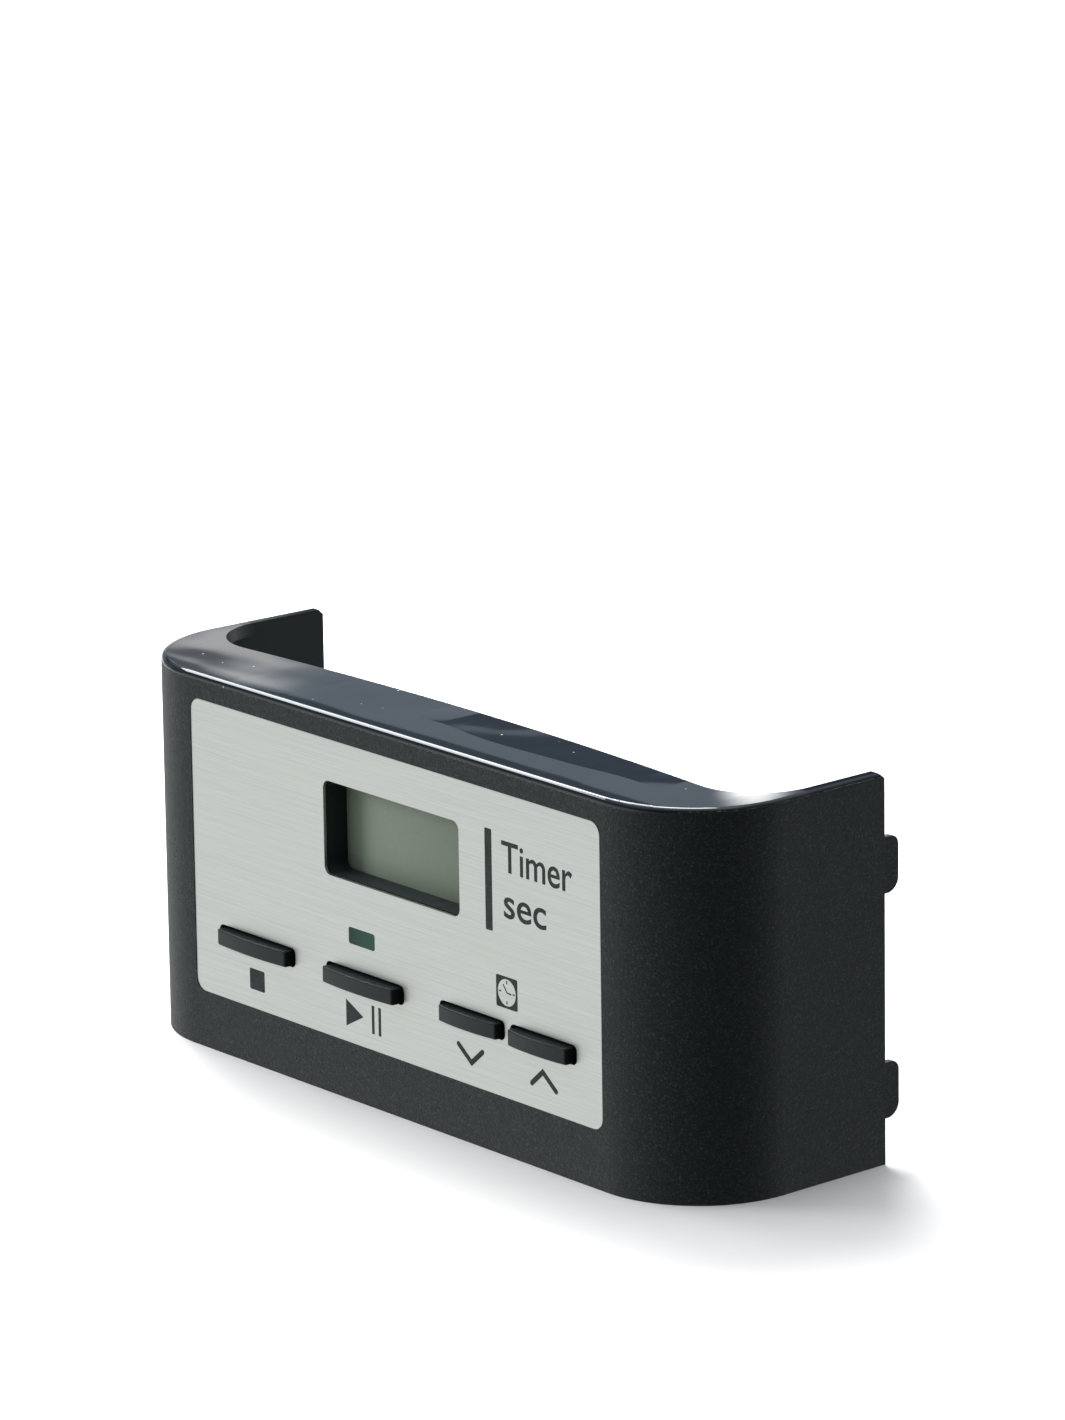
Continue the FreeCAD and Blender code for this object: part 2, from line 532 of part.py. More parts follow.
# --------------------------------------------------------------------- push buttons
def cap_outline(sketch, x, width, proud):
    """Cap seen from above: straight sides and back, front face bulging in one arc."""
    middle, half = value(x), value(width) / 2
    rear, end, tip = value("flange_front"), -value(proud), -value(proud + " + button_crown")
    right, left = Vector(middle + half, end, 0), Vector(middle - half, end, 0)
    arc = sketch.addGeometry(Part.Arc(left, Vector(middle, tip, 0), right), False)
    corners = [right, Vector(middle + half, rear, 0), Vector(middle - half, rear, 0), left]
    right_side, back, left_side = [
        sketch.addGeometry(Part.LineSegment(corners[k], corners[k + 1]), False) for k in range(3)]
    front_left, front_right = (1, 2) if sketch.getPoint(arc, 1).x < middle else (2, 1)
    for pair in [(arc, front_right, right_side, 1), (right_side, 2, back, 1),
                 (back, 2, left_side, 1), (left_side, 2, arc, front_left)]:
        sketch.addConstraint(Sketcher.Constraint("Coincident", *pair))
    sketch.addConstraint(Sketcher.Constraint("Vertical", right_side))
    sketch.addConstraint(Sketcher.Constraint("Vertical", left_side))
    sketch.addConstraint(Sketcher.Constraint("Horizontal", back))
    bind(sketch, "DistanceX", (back, 2, back, 1), "width", width)
    bind(sketch, "DistanceX", (-1, 1, back, 1), "right_x", "%s + %s / 2" % (x, width))
    bind(sketch, "DistanceY", (-1, 1, back, 1), "rear", "flange_front")
    bind(sketch, "DistanceY", (right_side, 1, right_side, 2), "right_end", proud + " + flange_front")
    bind(sketch, "DistanceY", (left_side, 2, left_side, 1), "left_end", proud + " + flange_front")
    chord = "(%s / 2)" % width
    bind(sketch, "Radius", (arc,), "bulge",
         "(%s * %s + button_crown * button_crown) / (2 * button_crown)" % (chord, chord))


def make_button(name):
    """Slim cap with a flange that the cover holds back and a stem on the switch."""
    x, width, proud = name + "_x", BUTTON_WIDTH[name], name + "_proud"
    label = name + "_cap"
    body = new_body(label)
    outline = new_sketch(body, "CapOutline", "XY_Plane", "button_z - button_tall / 2")
    cap_outline(outline, x, width, proud)
    pad(body, outline, "Cap", "button_tall")
    front = -value(proud)

    def front_corner(edge):
        ends = edge.Vertexes
        upright = abs(ends[0].X - ends[-1].X) < 1e-4 and abs(ends[0].Y - ends[-1].Y) < 1e-4
        return upright and ends[0].Y < 0

    def front_rim(edge):
        ends = edge.Vertexes
        level = abs(ends[0].Z - ends[-1].Z) < 1e-4
        return level and max(vertex.Y for vertex in ends) < front + value("button_corner") + 0.01

    dress(body, "Fillet", "CornerRound", "button_corner", front_corner)
    dress(body, "Fillet", "EdgeRound", "button_edge", front_rim)
    flange = new_sketch(body, "FlangeOutline", "XZ_Plane", "flange_front")
    flange_wide = "%s + 2 * slot_side_gap + 2 * flange_side" % width
    rounded_rectangle(flange, "flange", x, "slot_z", flange_wide,
                      "slot_tall + 2 * flange_rise", "slot_corner")
    pad(body, flange, "Flange", "flange_thick", backwards=True)
    stem = new_sketch(body, "StemCircle", "XZ_Plane", "flange_front + flange_thick / 2")
    circle(stem, "stem", x, "button_z", "stem_radius")
    pad(body, stem, "Stem", "plunger_front - flange_front - flange_thick / 2", backwards=True)
    finish(label, body)


# ----------------------------------------------------------------- tactile switches
def make_switches():
    """Four switches: base with a dome well, metal lid, dome, legs, and a plunger each."""
    body_front = "board_front - switch_body"
    bases, lids, domes, legs = [], [], [], []
    for name in BUTTONS:
        x = name + "_x"
        block = centred_box(name + "SwitchBlock", x, body_front, "button_z",
                            "switch_size", "switch_body", "switch_size")
        well = rod(name + "SwitchWell", x, body_front, "button_z",
                   "dome_well_radius", "dome_well_depth")
        bases.append(boolean("Cut", name + "SwitchBase", block, well))
        sheet_metal = centred_box(name + "LidSheet", x, body_front + " - switch_lid", "button_z",
                                  "switch_size", "switch_lid", "switch_size")
        hole = rod(name + "LidHole", x, body_front + " - switch_lid", "button_z",
                   "lid_hole_radius", "switch_lid")
        lids.append(boolean("Cut", name + "Lid", sheet_metal, hole))
        domes.append(make_dome(name, x, body_front + " + dome_well_depth"))
        legs += make_switch_legs(name, x)
        plunger = rod(name + "Plunger", x, "plunger_front", "button_z",
                      "plunger_radius", "plunger_back - plunger_front")
        finish(name + "_plunger", soften_front(plunger, name))
    finish("switch_bases", group("SwitchBases", bases))
    finish("switch_lids", group("SwitchLids", lids))
    finish("switch_domes", group("SwitchDomes", domes))
    finish("switch_legs", group("SwitchLegs", legs))


def soften_front(plunger, name):
    """Round the plunger's front rim."""
    doc.recompute()
    item = doc.addObject("Part::Fillet", name + "PlungerRound")
    item.Base = plunger
    front = value("plunger_front")
    item.Edges = [(i + 1, 0.2, 0.2) for i, edge in enumerate(plunger.Shape.Edges)
                  if abs(edge.BoundBox.YMin - front) < 1e-4 and abs(edge.BoundBox.YMax - front) < 1e-4]
    return item


def make_dome(name, x, floor_y):
    """Thin spherical dome that stands on the floor of the switch's well."""
    foot = value("dome_well_radius") - 0.15
    rise = value("dome_rise")
    outer_radius = (foot * foot + rise * rise) / (2 * rise)
    thick = value("dome_thick")
    centre = Vector(value(x), value(floor_y) - rise + outer_radius, value("button_z"))
    slab = Part.makeCylinder(foot, rise, Vector(centre.x, value(floor_y), centre.z), Vector(0, -1, 0))
    shell = Part.makeSphere(outer_radius, centre).cut(Part.makeSphere(outer_radius - thick, centre))
    item = doc.addObject("Part::Feature", name + "Dome")
    item.Shape = slab.common(shell)
    return item


def make_switch_legs(name, x):
    """Four legs, each a strip up the base's side and a foot on the board."""
    legs = []
    for side, sign in (("Right", "+"), ("Left", "-")):
        for level, shift in (("Low", "-"), ("High", "+")):
            stem = name + side + level
            z = "button_z %s leg_pitch / 2" % shift
            strip_x = "%s %s (switch_size / 2 + leg_thick / 2)" % (x, sign)
            strip = centred_box(stem + "Strip", strip_x, "board_front - leg_rise", z,
                                "leg_thick", "leg_rise", "leg_wide")
            foot_x = "%s %s (switch_size / 2 + leg_foot / 2)" % (x, sign)
            foot = centred_box(stem + "Foot", foot_x, "board_front - leg_thick", z,
                               "leg_foot", "leg_thick", "leg_wide")
            legs.append(boolean("Fuse", stem + "Leg", strip, foot))
    return legs


# ---------------------------------------------------------------- board and screws
def screw_places():
    for side, x in (("Right", "boss_x"), ("Left", "-boss_x")):
        for level in ("Low", "High"):
            yield side + level, x, "boss_%s_z" % level.lower()


def contact_places():
    for k in range(5):
        yield k, "socket_x + %d * contact_pitch" % (k - 2)


def make_circuit_board():
    body = new_body("circuit_board")
    outline = new_sketch(body, "BoardOutline", "XZ_Plane", "board_front")
    rounded_rectangle(outline, "board", "0", "board_low_z + board_tall / 2",
                      "board_width", "board_tall", "board_corner")
    pad(body, outline, "Board", "board_thick", backwards=True)
    holes = new_sketch(body, "BoardHoles", "XZ_Plane", "board_front")
    for place, x, z in screw_places():
        circle(holes, place, x, z, "screw_hole_radius")
    for k, x in contact_places():
        circle(holes, "contact%d" % k, x, "socket_z", "contact_wide * 0.75")
    pocket(body, holes, "Holes", "board_thick + 1")
    finish("circuit_board", body)


def make_board_screws():
    """Pan-head screws with a cross recess, driven from behind the board."""
    screws = []
    board_back = "board_front + board_thick"
    for place, x, z in screw_places():
        shank = rod(place + "Shank", x, "board_front - screw_reach", z, "screw_radius",
                    "screw_reach + board_thick + screw_head_tall / 2")
        head = rod(place + "Head", x, board_back, z, "screw_head_radius", "screw_head_tall")
        whole = boolean("Fuse", place + "Screw", shank, head)
        slot_y = board_back + " + screw_head_tall - screw_cross_depth"
        flat = centred_box(place + "CrossFlat", x, slot_y, z, "screw_cross_long",
                           "screw_cross_depth", "screw_cross_wide")
        upright = centred_box(place + "CrossUpright", x, slot_y, z, "screw_cross_wide",
                              "screw_cross_depth", "screw_cross_long")
        cross = boolean("Fuse", place + "Cross", flat, upright)
        screws.append(boolean("Cut", place + "SlottedScrew", whole, cross))
    finish("board_screws", group("BoardScrews", screws))


# -------------------------------------------------------------------- display stack
def make_display():
    """Liquid crystal display: polarisers, two glasses, light guide, rubber strip, frame."""
    x, z = "window_x", "window_z"
    glass_front = "polariser_front + polariser_thick"
    rear_glass = glass_front + " + glass_thick"
    rear_film = glass_front + " + 2 * glass_thick"
    rear_z = z + " + glass_ledge / 2"
    rear_tall = "display_tall - glass_ledge"
    plates = [
        ("lcd_front_film", z, "polariser_front", "polariser_wide", "polariser_thick", "polariser_tall"),
        ("lcd_front_glass", z, glass_front, "display_wide", "glass_thick", "display_tall"),
        ("lcd_rear_glass", rear_z, rear_glass, "display_wide", "glass_thick", rear_tall),
        ("lcd_rear_film", rear_z, rear_film, "polariser_wide", "polariser_thick", rear_tall + " - 1"),
    ]
    for label, middle_z, front_y, wide, thick, tall in plates:
        finish(label, centred_box(label, x, front_y, middle_z, wide, thick, tall))
    guide_front = rear_film + " + polariser_thick"
    finish("lcd_light_guide", centred_box("lcd_light_guide", x, guide_front, rear_z,
                                          "guide_wide", "guide_thick", "guide_tall"))
    rubber_z = z + " - display_tall / 2 + glass_ledge / 2"
    finish("lcd_rubber_strip", centred_box("lcd_rubber_strip", x, rear_glass, rubber_z, "rubber_wide",
                                           "board_front - (%s)" % rear_glass, "rubber_tall"))
    lamps = [centred_box("Backlight" + side, "%s %s (guide_wide + backlight_wide + 0.4) / 2" % (x, sign),
                         "board_front - backlight_thick", rear_z, "backlight_wide",
                         "backlight_thick", "backlight_tall")
             for side, sign in (("Left", "-"), ("Right", "+"))]
    finish("backlight_leds", group("BacklightLeds", lamps))
    make_lcd_frame(x, z, glass_front)
    finish("status_led", centred_box("status_led", "lamp_x", "board_front - led_thick", "lamp_z",
                                     "led_wide", "led_thick", "led_tall"))


def make_lcd_frame(x, z, glass_front):
    """Frame round the display, with a front lip that holds the glass to the board."""
    body = new_body("lcd_frame")
    outline = new_sketch(body, "FrameOutline", "XZ_Plane", "frame_front")
    rounded_rectangle(outline, "frame", x, z, "display_wide + 2 * (frame_gap + frame_wall)",
                      "display_tall + 2 * (frame_gap + frame_wall)", "frame_wall")
    pad(body, outline, "Frame", "board_front - frame_front", backwards=True)
    inside = new_sketch(body, "FrameInside", "XZ_Plane", glass_front)
    rounded_rectangle(inside, "inside", x, z, "display_wide + 2 * frame_gap",
                      "display_tall + 2 * frame_gap", "frame_gap")
    pocket(body, inside, "Inside", "board_front - frame_front")
    lip = new_sketch(body, "FrameLip", "XZ_Plane", "0")
    rounded_rectangle(lip, "lip", x, z, "frame_lip_wide", "frame_lip_tall",
                      "window_corner + tunnel_wall")
    pocket(body, lip, "Lip", "board_front")
    finish("lcd_frame", body)


# ------------------------------------------------------- parts on the board's back
def make_microcontroller(board_back):
    chip = centred_box("ChipBlock", "chip_x", board_back + " + chip_stand", "chip_z",
                       "chip_wide", "chip_thick", "chip_tall")
    dimple = rod("ChipDimple", "chip_x - chip_wide / 2 + 1.5",
                 board_back + " + chip_stand + chip_thick - 0.1", "chip_z - chip_tall / 2 + 1.5",
                 "chip_stand * 4", "chip_stand * 2")
    finish("microcontroller", boolean("Cut", "ChipBody", chip, dimple))
    pins = []
    for k in range(10):
        for side, sign in (("Low", "-"), ("High", "+")):
            stem = "ChipPin%s%d" % (side, k)
            x = "chip_x + (%d - 4.5) * pin_pitch" % k
            rise_z = "chip_z %s (chip_tall / 2 + pin_thick / 2)" % sign
            rise = centred_box(stem + "Rise", x, board_back, rise_z, "pin_wide", "pin_rise", "pin_thick")
            foot_z = "chip_z %s (chip_tall / 2 + pin_reach / 2)" % sign
            foot = centred_box(stem + "Foot", x, board_back, foot_z, "pin_wide", "pin_thick", "pin_reach")
            pins.append(boolean("Fuse", stem, rise, foot))
    finish("microcontroller_pins", group("ChipPins", pins))


def make_crystal(board_back):
    can = centred_box("CrystalBlock", "crystal_x", board_back, "crystal_z",
                      "crystal_wide", "crystal_thick", "crystal_tall")
    doc.recompute()
    item = doc.addObject("Part::Fillet", "CrystalRound")
    item.Base = can
    round_size = value("crystal_round")
    item.Edges = [(i + 1, round_size, round_size) for i, edge in enumerate(can.Shape.Edges)
                  if edge.BoundBox.YLength > value("crystal_thick") / 2]
    finish("crystal", item)


def make_capacitors(board_back):
    cans, feet = [], []
    for k in range(2):
        x = "can_x + %d * can_pitch" % k
        foot = centred_box("CapFoot%d" % k, x, board_back, "can_z", "can_base", "can_base_thick", "can_base")
        can_front = board_back + " + can_base_thick"
        can = rod("CapCan%d" % k, x, can_front, "can_z", "can_radius", "can_tall - can_base_thick")
        groove = primitive("Torus", "CapGroove%d" % k,
                           {"Radius1": "can_radius + can_groove / 3", "Radius2": "can_groove"},
                           (x, can_front + " + 1.4", "can_z"), Rotation(Vector(1, 0, 0), -90))
        cans.append(boolean("Cut", "CapBody%d" % k, can, groove))
        feet.append(foot)
    finish("capacitor_cans", group("CapacitorCans", cans))
    finish("capacitor_feet", group("CapacitorFeet", feet))


def make_chip_parts(board_back):
    parts = []
    for row in range(3):
        for column in range(4):
            x = "chip_part_x - %d * chip_part_pitch" % column
            z = "chip_part_z - %d * chip_part_pitch" % row
            parts.append(centred_box("ChipPart%d%d" % (row, column), x, board_back, z,
                                     "chip_part_wide", "chip_part_thick", "chip_part_tall"))
    finish("chip_parts", group("ChipParts", parts))


def make_socket(board_back):
    """Open-topped header: a shroud with five square contacts through the board."""
    block = centred_box("SocketBlock", "socket_x", board_back, "socket_z",
                        "socket_wide", "socket_deep", "socket_tall")
    inside = centred_box("SocketInside", "socket_x", board_back + " + socket_floor", "socket_z",
                         "socket_wide - 2 * socket_wall", "socket_deep", "socket_tall - 2 * socket_wall")
    shroud = boolean("Cut", "SocketShroud", block, inside)
    contacts, holes = [], []
    for k, x in contact_places():
        sizes = ("contact_wide", "board_thick + contact_front + contact_back", "contact_wide")
        contacts.append(centred_box("Contact%d" % k, x, "board_front - contact_front", "socket_z", *sizes))
        holes.append(centred_box("ContactHole%d" % k, x, "board_front - contact_front", "socket_z", *sizes))
    finish("socket_shroud", boolean("Cut", "SocketPierced", shroud, group("SocketHoles", holes)))
    finish("socket_contacts", group("SocketContacts", contacts))


def make_board_parts():
    board_back = "board_front + board_thick"
    make_microcontroller(board_back)
    make_crystal(board_back)
    make_capacitors(board_back)
    make_chip_parts(board_back)
    make_socket(board_back)


# ------------------------------------------------------------------ check and write
def check_document():
    for item in doc.Objects:
        states = " ".join(item.State)
        if "Invalid" in states or "Error" in states:
            raise RuntimeError("%s did not rebuild: %s" % (item.Label, states))
    for label, item in finished.items():
        if item.Shape.isNull() or not item.Shape.isValid() or item.Shape.Volume <= 0:
            raise RuntimeError("bad shape in " + label)


def write_parts():
    os.makedirs("parts", exist_ok=True)
    for label, item in finished.items():
        item.Shape.exportStep("parts/%s.step" % label)


make_front_cover()
make_faceplate()
make_faceplate_glue()
make_led_lens()
for button_name in BUTTONS:
    make_button(button_name)
make_switches()
make_circuit_board()
make_board_screws()
make_display()
make_board_parts()
doc.recompute()
check_document()
write_parts()
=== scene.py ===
import json
import math
import bmesh
import bpy
from mathutils import Matrix, Vector


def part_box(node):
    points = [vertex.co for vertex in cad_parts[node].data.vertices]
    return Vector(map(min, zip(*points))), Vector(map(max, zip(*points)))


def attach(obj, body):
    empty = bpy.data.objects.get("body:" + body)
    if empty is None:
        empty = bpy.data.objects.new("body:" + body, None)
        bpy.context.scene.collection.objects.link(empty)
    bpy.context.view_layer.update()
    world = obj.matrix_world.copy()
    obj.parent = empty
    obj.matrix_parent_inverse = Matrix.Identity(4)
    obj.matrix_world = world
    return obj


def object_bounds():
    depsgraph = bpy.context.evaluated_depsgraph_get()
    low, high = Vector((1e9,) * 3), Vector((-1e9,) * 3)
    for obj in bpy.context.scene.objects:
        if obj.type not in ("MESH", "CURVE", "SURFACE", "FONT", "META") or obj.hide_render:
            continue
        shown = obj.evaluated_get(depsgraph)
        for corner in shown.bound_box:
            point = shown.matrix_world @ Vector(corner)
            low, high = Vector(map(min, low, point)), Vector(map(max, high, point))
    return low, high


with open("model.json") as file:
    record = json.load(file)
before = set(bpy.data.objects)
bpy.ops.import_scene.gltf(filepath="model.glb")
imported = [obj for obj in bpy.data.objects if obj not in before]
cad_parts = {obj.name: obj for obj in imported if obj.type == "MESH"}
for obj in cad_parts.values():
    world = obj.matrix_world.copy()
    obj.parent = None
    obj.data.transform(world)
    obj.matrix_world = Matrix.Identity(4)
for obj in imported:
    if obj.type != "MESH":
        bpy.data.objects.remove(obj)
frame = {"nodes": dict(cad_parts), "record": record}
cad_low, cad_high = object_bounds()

# Lengths are in metres, Z is up, and the panel's front faces -Y.

MM = 0.001
PLATE_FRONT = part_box("faceplate")[0].y
BOARD_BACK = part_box("circuit_board")[1].y
COVER_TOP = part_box("front_cover")[1].z
COVER_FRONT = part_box("front_cover")[0].y
WING_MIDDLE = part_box("front_cover")[1].x - 1.1 * MM     # middle of a side wing's thickness
INK_THICK = 0.02 * MM
CAPITAL_SHARE = 0.69            # height of a capital letter, as a share of the font's size
NOISE_LOW, NOISE_HIGH = 0.3, 0.7        # nearly all of a noise texture lies between these

SKY_STOPS = (                   # height above the horizon, as a sine, and colour
    (0.000, (0.97, 1.0, 0.99)),
    (0.020, (0.21, 0.24, 0.26)),
    (0.170, (0.22, 0.26, 0.29)),
    (0.220, (0.27, 0.32, 0.37)),
    (0.287, (0.26, 0.315, 0.36)),
    (0.293, (0.036, 0.05, 0.07)),
    (0.330, (0.03, 0.045, 0.065)),
    (0.370, (0.08, 0.14, 0.24)),
    (0.450, (0.31, 0.34, 0.38)),
    (0.600, (0.55, 0.55, 0.55)),
    (0.800, (0.70, 0.70, 0.70)),
)
SKY_STRENGTH = 1.45
SKY_DARK_SIDE = (0.954, -0.301, 0.0)    # towards the front right
FLOOR_REACH = 3.0
FLOOR_DROP = 0.01 * MM          # how far the floor lies below the panel


# Camera, lights and floor

def make_camera():
    """A long lens, to the right of the panel and a little above it."""
    eye = Vector((0.85488, -0.69881, 0.35317))
    target = Vector((0.03263, -0.0195, 0.06726))
    roll = math.radians(-0.817)
    data = bpy.data.cameras.new("camera")
    data.sensor_fit = "VERTICAL"
    data.sensor_height = 36
    data.sensor_width = 36
    data.lens = 200.47
    data.clip_end = 20
    camera = bpy.data.objects.new("camera", data)
    ahead = (target - eye).normalized()
    right = ahead.cross(Vector((0, 0, 1))).normalized()
    up = right.cross(ahead)
    rolled_right = right * math.cos(roll) + up * math.sin(roll)
    rolled_up = up * math.cos(roll) - right * math.sin(roll)
    turn = Matrix((rolled_right, rolled_up, -ahead)).transposed().to_4x4()
    camera.matrix_world = Matrix.Translation(eye) @ turn
    bpy.context.scene.collection.objects.link(camera)
    bpy.context.scene.camera = camera


def area_light(name, place, aim, size, power):
    """A soft box that lights and is reflected, but isn't seen itself."""
    data = bpy.data.lights.new(name, "AREA")
    data.shape = "RECTANGLE"
    data.size, data.size_y = size
    data.energy = power
    light = bpy.data.objects.new(name, data)
    light.location = place
    light.rotation_mode = "QUATERNION"
    light.rotation_quaternion = (Vector(aim) - Vector(place)).to_track_quat("-Z", "Y")
    light.visible_camera = False
    bpy.context.scene.collection.objects.link(light)
    return light


def set_range(node, *limits):
    """Gives a Map Range node its limits: from low, from high, to low, to high."""
    for socket, limit in zip(node.inputs[1:5], limits):
        socket.default_value = limit


def make_sky():
    """Pale overhead, dim blue low down, where the polished deck mirrors it, and dim to the front right."""
    world = bpy.data.worlds.new("studio")
    bpy.context.scene.world = world
    world.use_nodes = True
    tree = world.node_tree
    tree.nodes.clear()
    new, link = tree.nodes.new, tree.links.new
    out, back = new("ShaderNodeOutputWorld"), new("ShaderNodeBackground")
    place, parts = new("ShaderNodeTexCoord"), new("ShaderNodeSeparateXYZ")
    link(place.outputs["Generated"], parts.inputs[0])

    ramp = new("ShaderNodeValToRGB")
    while len(ramp.color_ramp.elements) < len(SKY_STOPS):
        ramp.color_ramp.elements.new(0.5)
    for element, (height, colour) in zip(ramp.color_ramp.elements, SKY_STOPS):
        element.position = height
        element.color = (*colour, 1)
    link(parts.outputs["Z"], ramp.inputs[0])
    link(ramp.outputs[0], back.inputs["Color"])

    facing, dim = new("ShaderNodeVectorMath"), new("ShaderNodeMapRange")
    facing.operation = "DOT_PRODUCT"
    facing.inputs[1].default_value = SKY_DARK_SIDE
    link(place.outputs["Generated"], facing.inputs[0])
    link(facing.outputs["Value"], dim.inputs[0])
    set_range(dim, -0.1, 0.80, 1.0, 0.02)
    overhead, brighter = new("ShaderNodeMapRange"), new("ShaderNodeMath")
    link(parts.outputs["Z"], overhead.inputs[0])
    set_range(overhead, 0.65, 0.95, 0.0, 1.0)
    brighter.operation = "MAXIMUM"
    link(dim.outputs[0], brighter.inputs[0])
    link(overhead.outputs[0], brighter.inputs[1])
    strength = new("ShaderNodeMath")
    strength.operation = "MULTIPLY"
    strength.inputs[1].default_value = SKY_STRENGTH
    link(brighter.outputs[0], strength.inputs[0])
    link(strength.outputs[0], back.inputs["Strength"])
    link(back.outputs[0], out.inputs[0])


def glow_card(name, place, towards, radius, strength):
    """A white oval card with a soft edge, which only reflections see."""
    mesh = bpy.data.meshes.new(name)
    half_wide, half_tall = radius
    mesh.from_pydata([(-half_wide, -half_tall, 0), (half_wide, -half_tall, 0),
                      (half_wide, half_tall, 0), (-half_wide, half_tall, 0)], [], [(0, 1, 2, 3)])
    material = bpy.data.materials.new(name)
    material.use_nodes = True
    tree = material.node_tree
    tree.nodes.clear()
    new, link = tree.nodes.new, tree.links.new
    spot, stretch = new("ShaderNodeTexCoord"), new("ShaderNodeMapping")
    length, fade = new("ShaderNodeVectorMath"), new("ShaderNodeMapRange")
    glow, clear = new("ShaderNodeEmission"), new("ShaderNodeBsdfTransparent")
    both, out = new("ShaderNodeMixShader"), new("ShaderNodeOutputMaterial")
    stretch.inputs["Scale"].default_value = (1 / half_wide, 1 / half_tall, 1)
    length.operation = "LENGTH"
    fade.interpolation_type = "SMOOTHSTEP"
    set_range(fade, 0.1, 1.0, 1.0, 0.0)
    glow.inputs["Color"].default_value = (1, 1, 1, 1)
    glow.inputs["Strength"].default_value = strength
    link(spot.outputs["Object"], stretch.inputs[0])
    link(stretch.outputs[0], length.inputs[0])
    link(length.outputs["Value"], fade.inputs[0])
    link(fade.outputs[0], both.inputs[0])
    link(clear.outputs[0], both.inputs[1])
    link(glow.outputs[0], both.inputs[2])
    link(both.outputs[0], out.inputs[0])
    mesh.materials.append(material)
    card = bpy.data.objects.new(name, mesh)
    card.location = place
    card.rotation_mode = "QUATERNION"
    card.rotation_quaternion = (Vector(towards) - Vector(place)).to_track_quat("Z", "Y")
    card.visible_camera = card.visible_diffuse = card.visible_shadow = card.visible_transmission = False
    bpy.context.scene.collection.objects.link(card)


def make_lights():
    """Two strips for the bright line along the front edge, a top light, a low wash, and two glow cards."""
    area_light("edge_strip", (-0.67, 0.06, 0.60), (0, 0, 0.055), (0.80, 0.17), 5.0)
    area_light("corner_strip", (-0.478, 0.285, 0.83), (0.05, -0.01, 0.055), (0.37, 0.52), 9.0)
    area_light("top", (-0.2, 0.1, 1.5), (0, 0, 0.03), (1.2, 1.2), 5)
    area_light("wash", (-1.0, -0.9, 0.55), (-0.12, -0.16, 0.0), (0.5, 0.35), 9).visible_glossy = False
    mirrored = Vector((-0.745, 0.615, 0.259))       # where the deck sends the camera's line of sight
    card_distance = 0.2
    for name, x, y, radius, strength in (("left_glow", -66, -8, (0.022, 0.014), 1.4),
                                         ("right_glow", 62.8, 2.6, (0.0075, 0.007), 6.0)):
        spot = Vector((x * MM, y * MM, COVER_TOP))
        glow_card(name, spot + mirrored * card_distance, spot, radius, strength)


def make_floor():
    """White paper that shows to the camera and takes shadows, but lights and reflects in nothing."""
    mesh = bpy.data.meshes.new("floor")
    mesh.from_pydata([(-FLOOR_REACH, -FLOOR_REACH, 0), (FLOOR_REACH, -FLOOR_REACH, 0),
                      (FLOOR_REACH, FLOOR_REACH, 0), (-FLOOR_REACH, FLOOR_REACH, 0)], [], [(0, 1, 2, 3)])
    mesh.materials.append(floor_finish())
    floor = bpy.data.objects.new("floor", mesh)
    floor.location.z = cad_low.z - FLOOR_DROP
    floor.visible_glossy = floor.visible_diffuse = False
    bpy.context.scene.collection.objects.link(floor)


# Material building

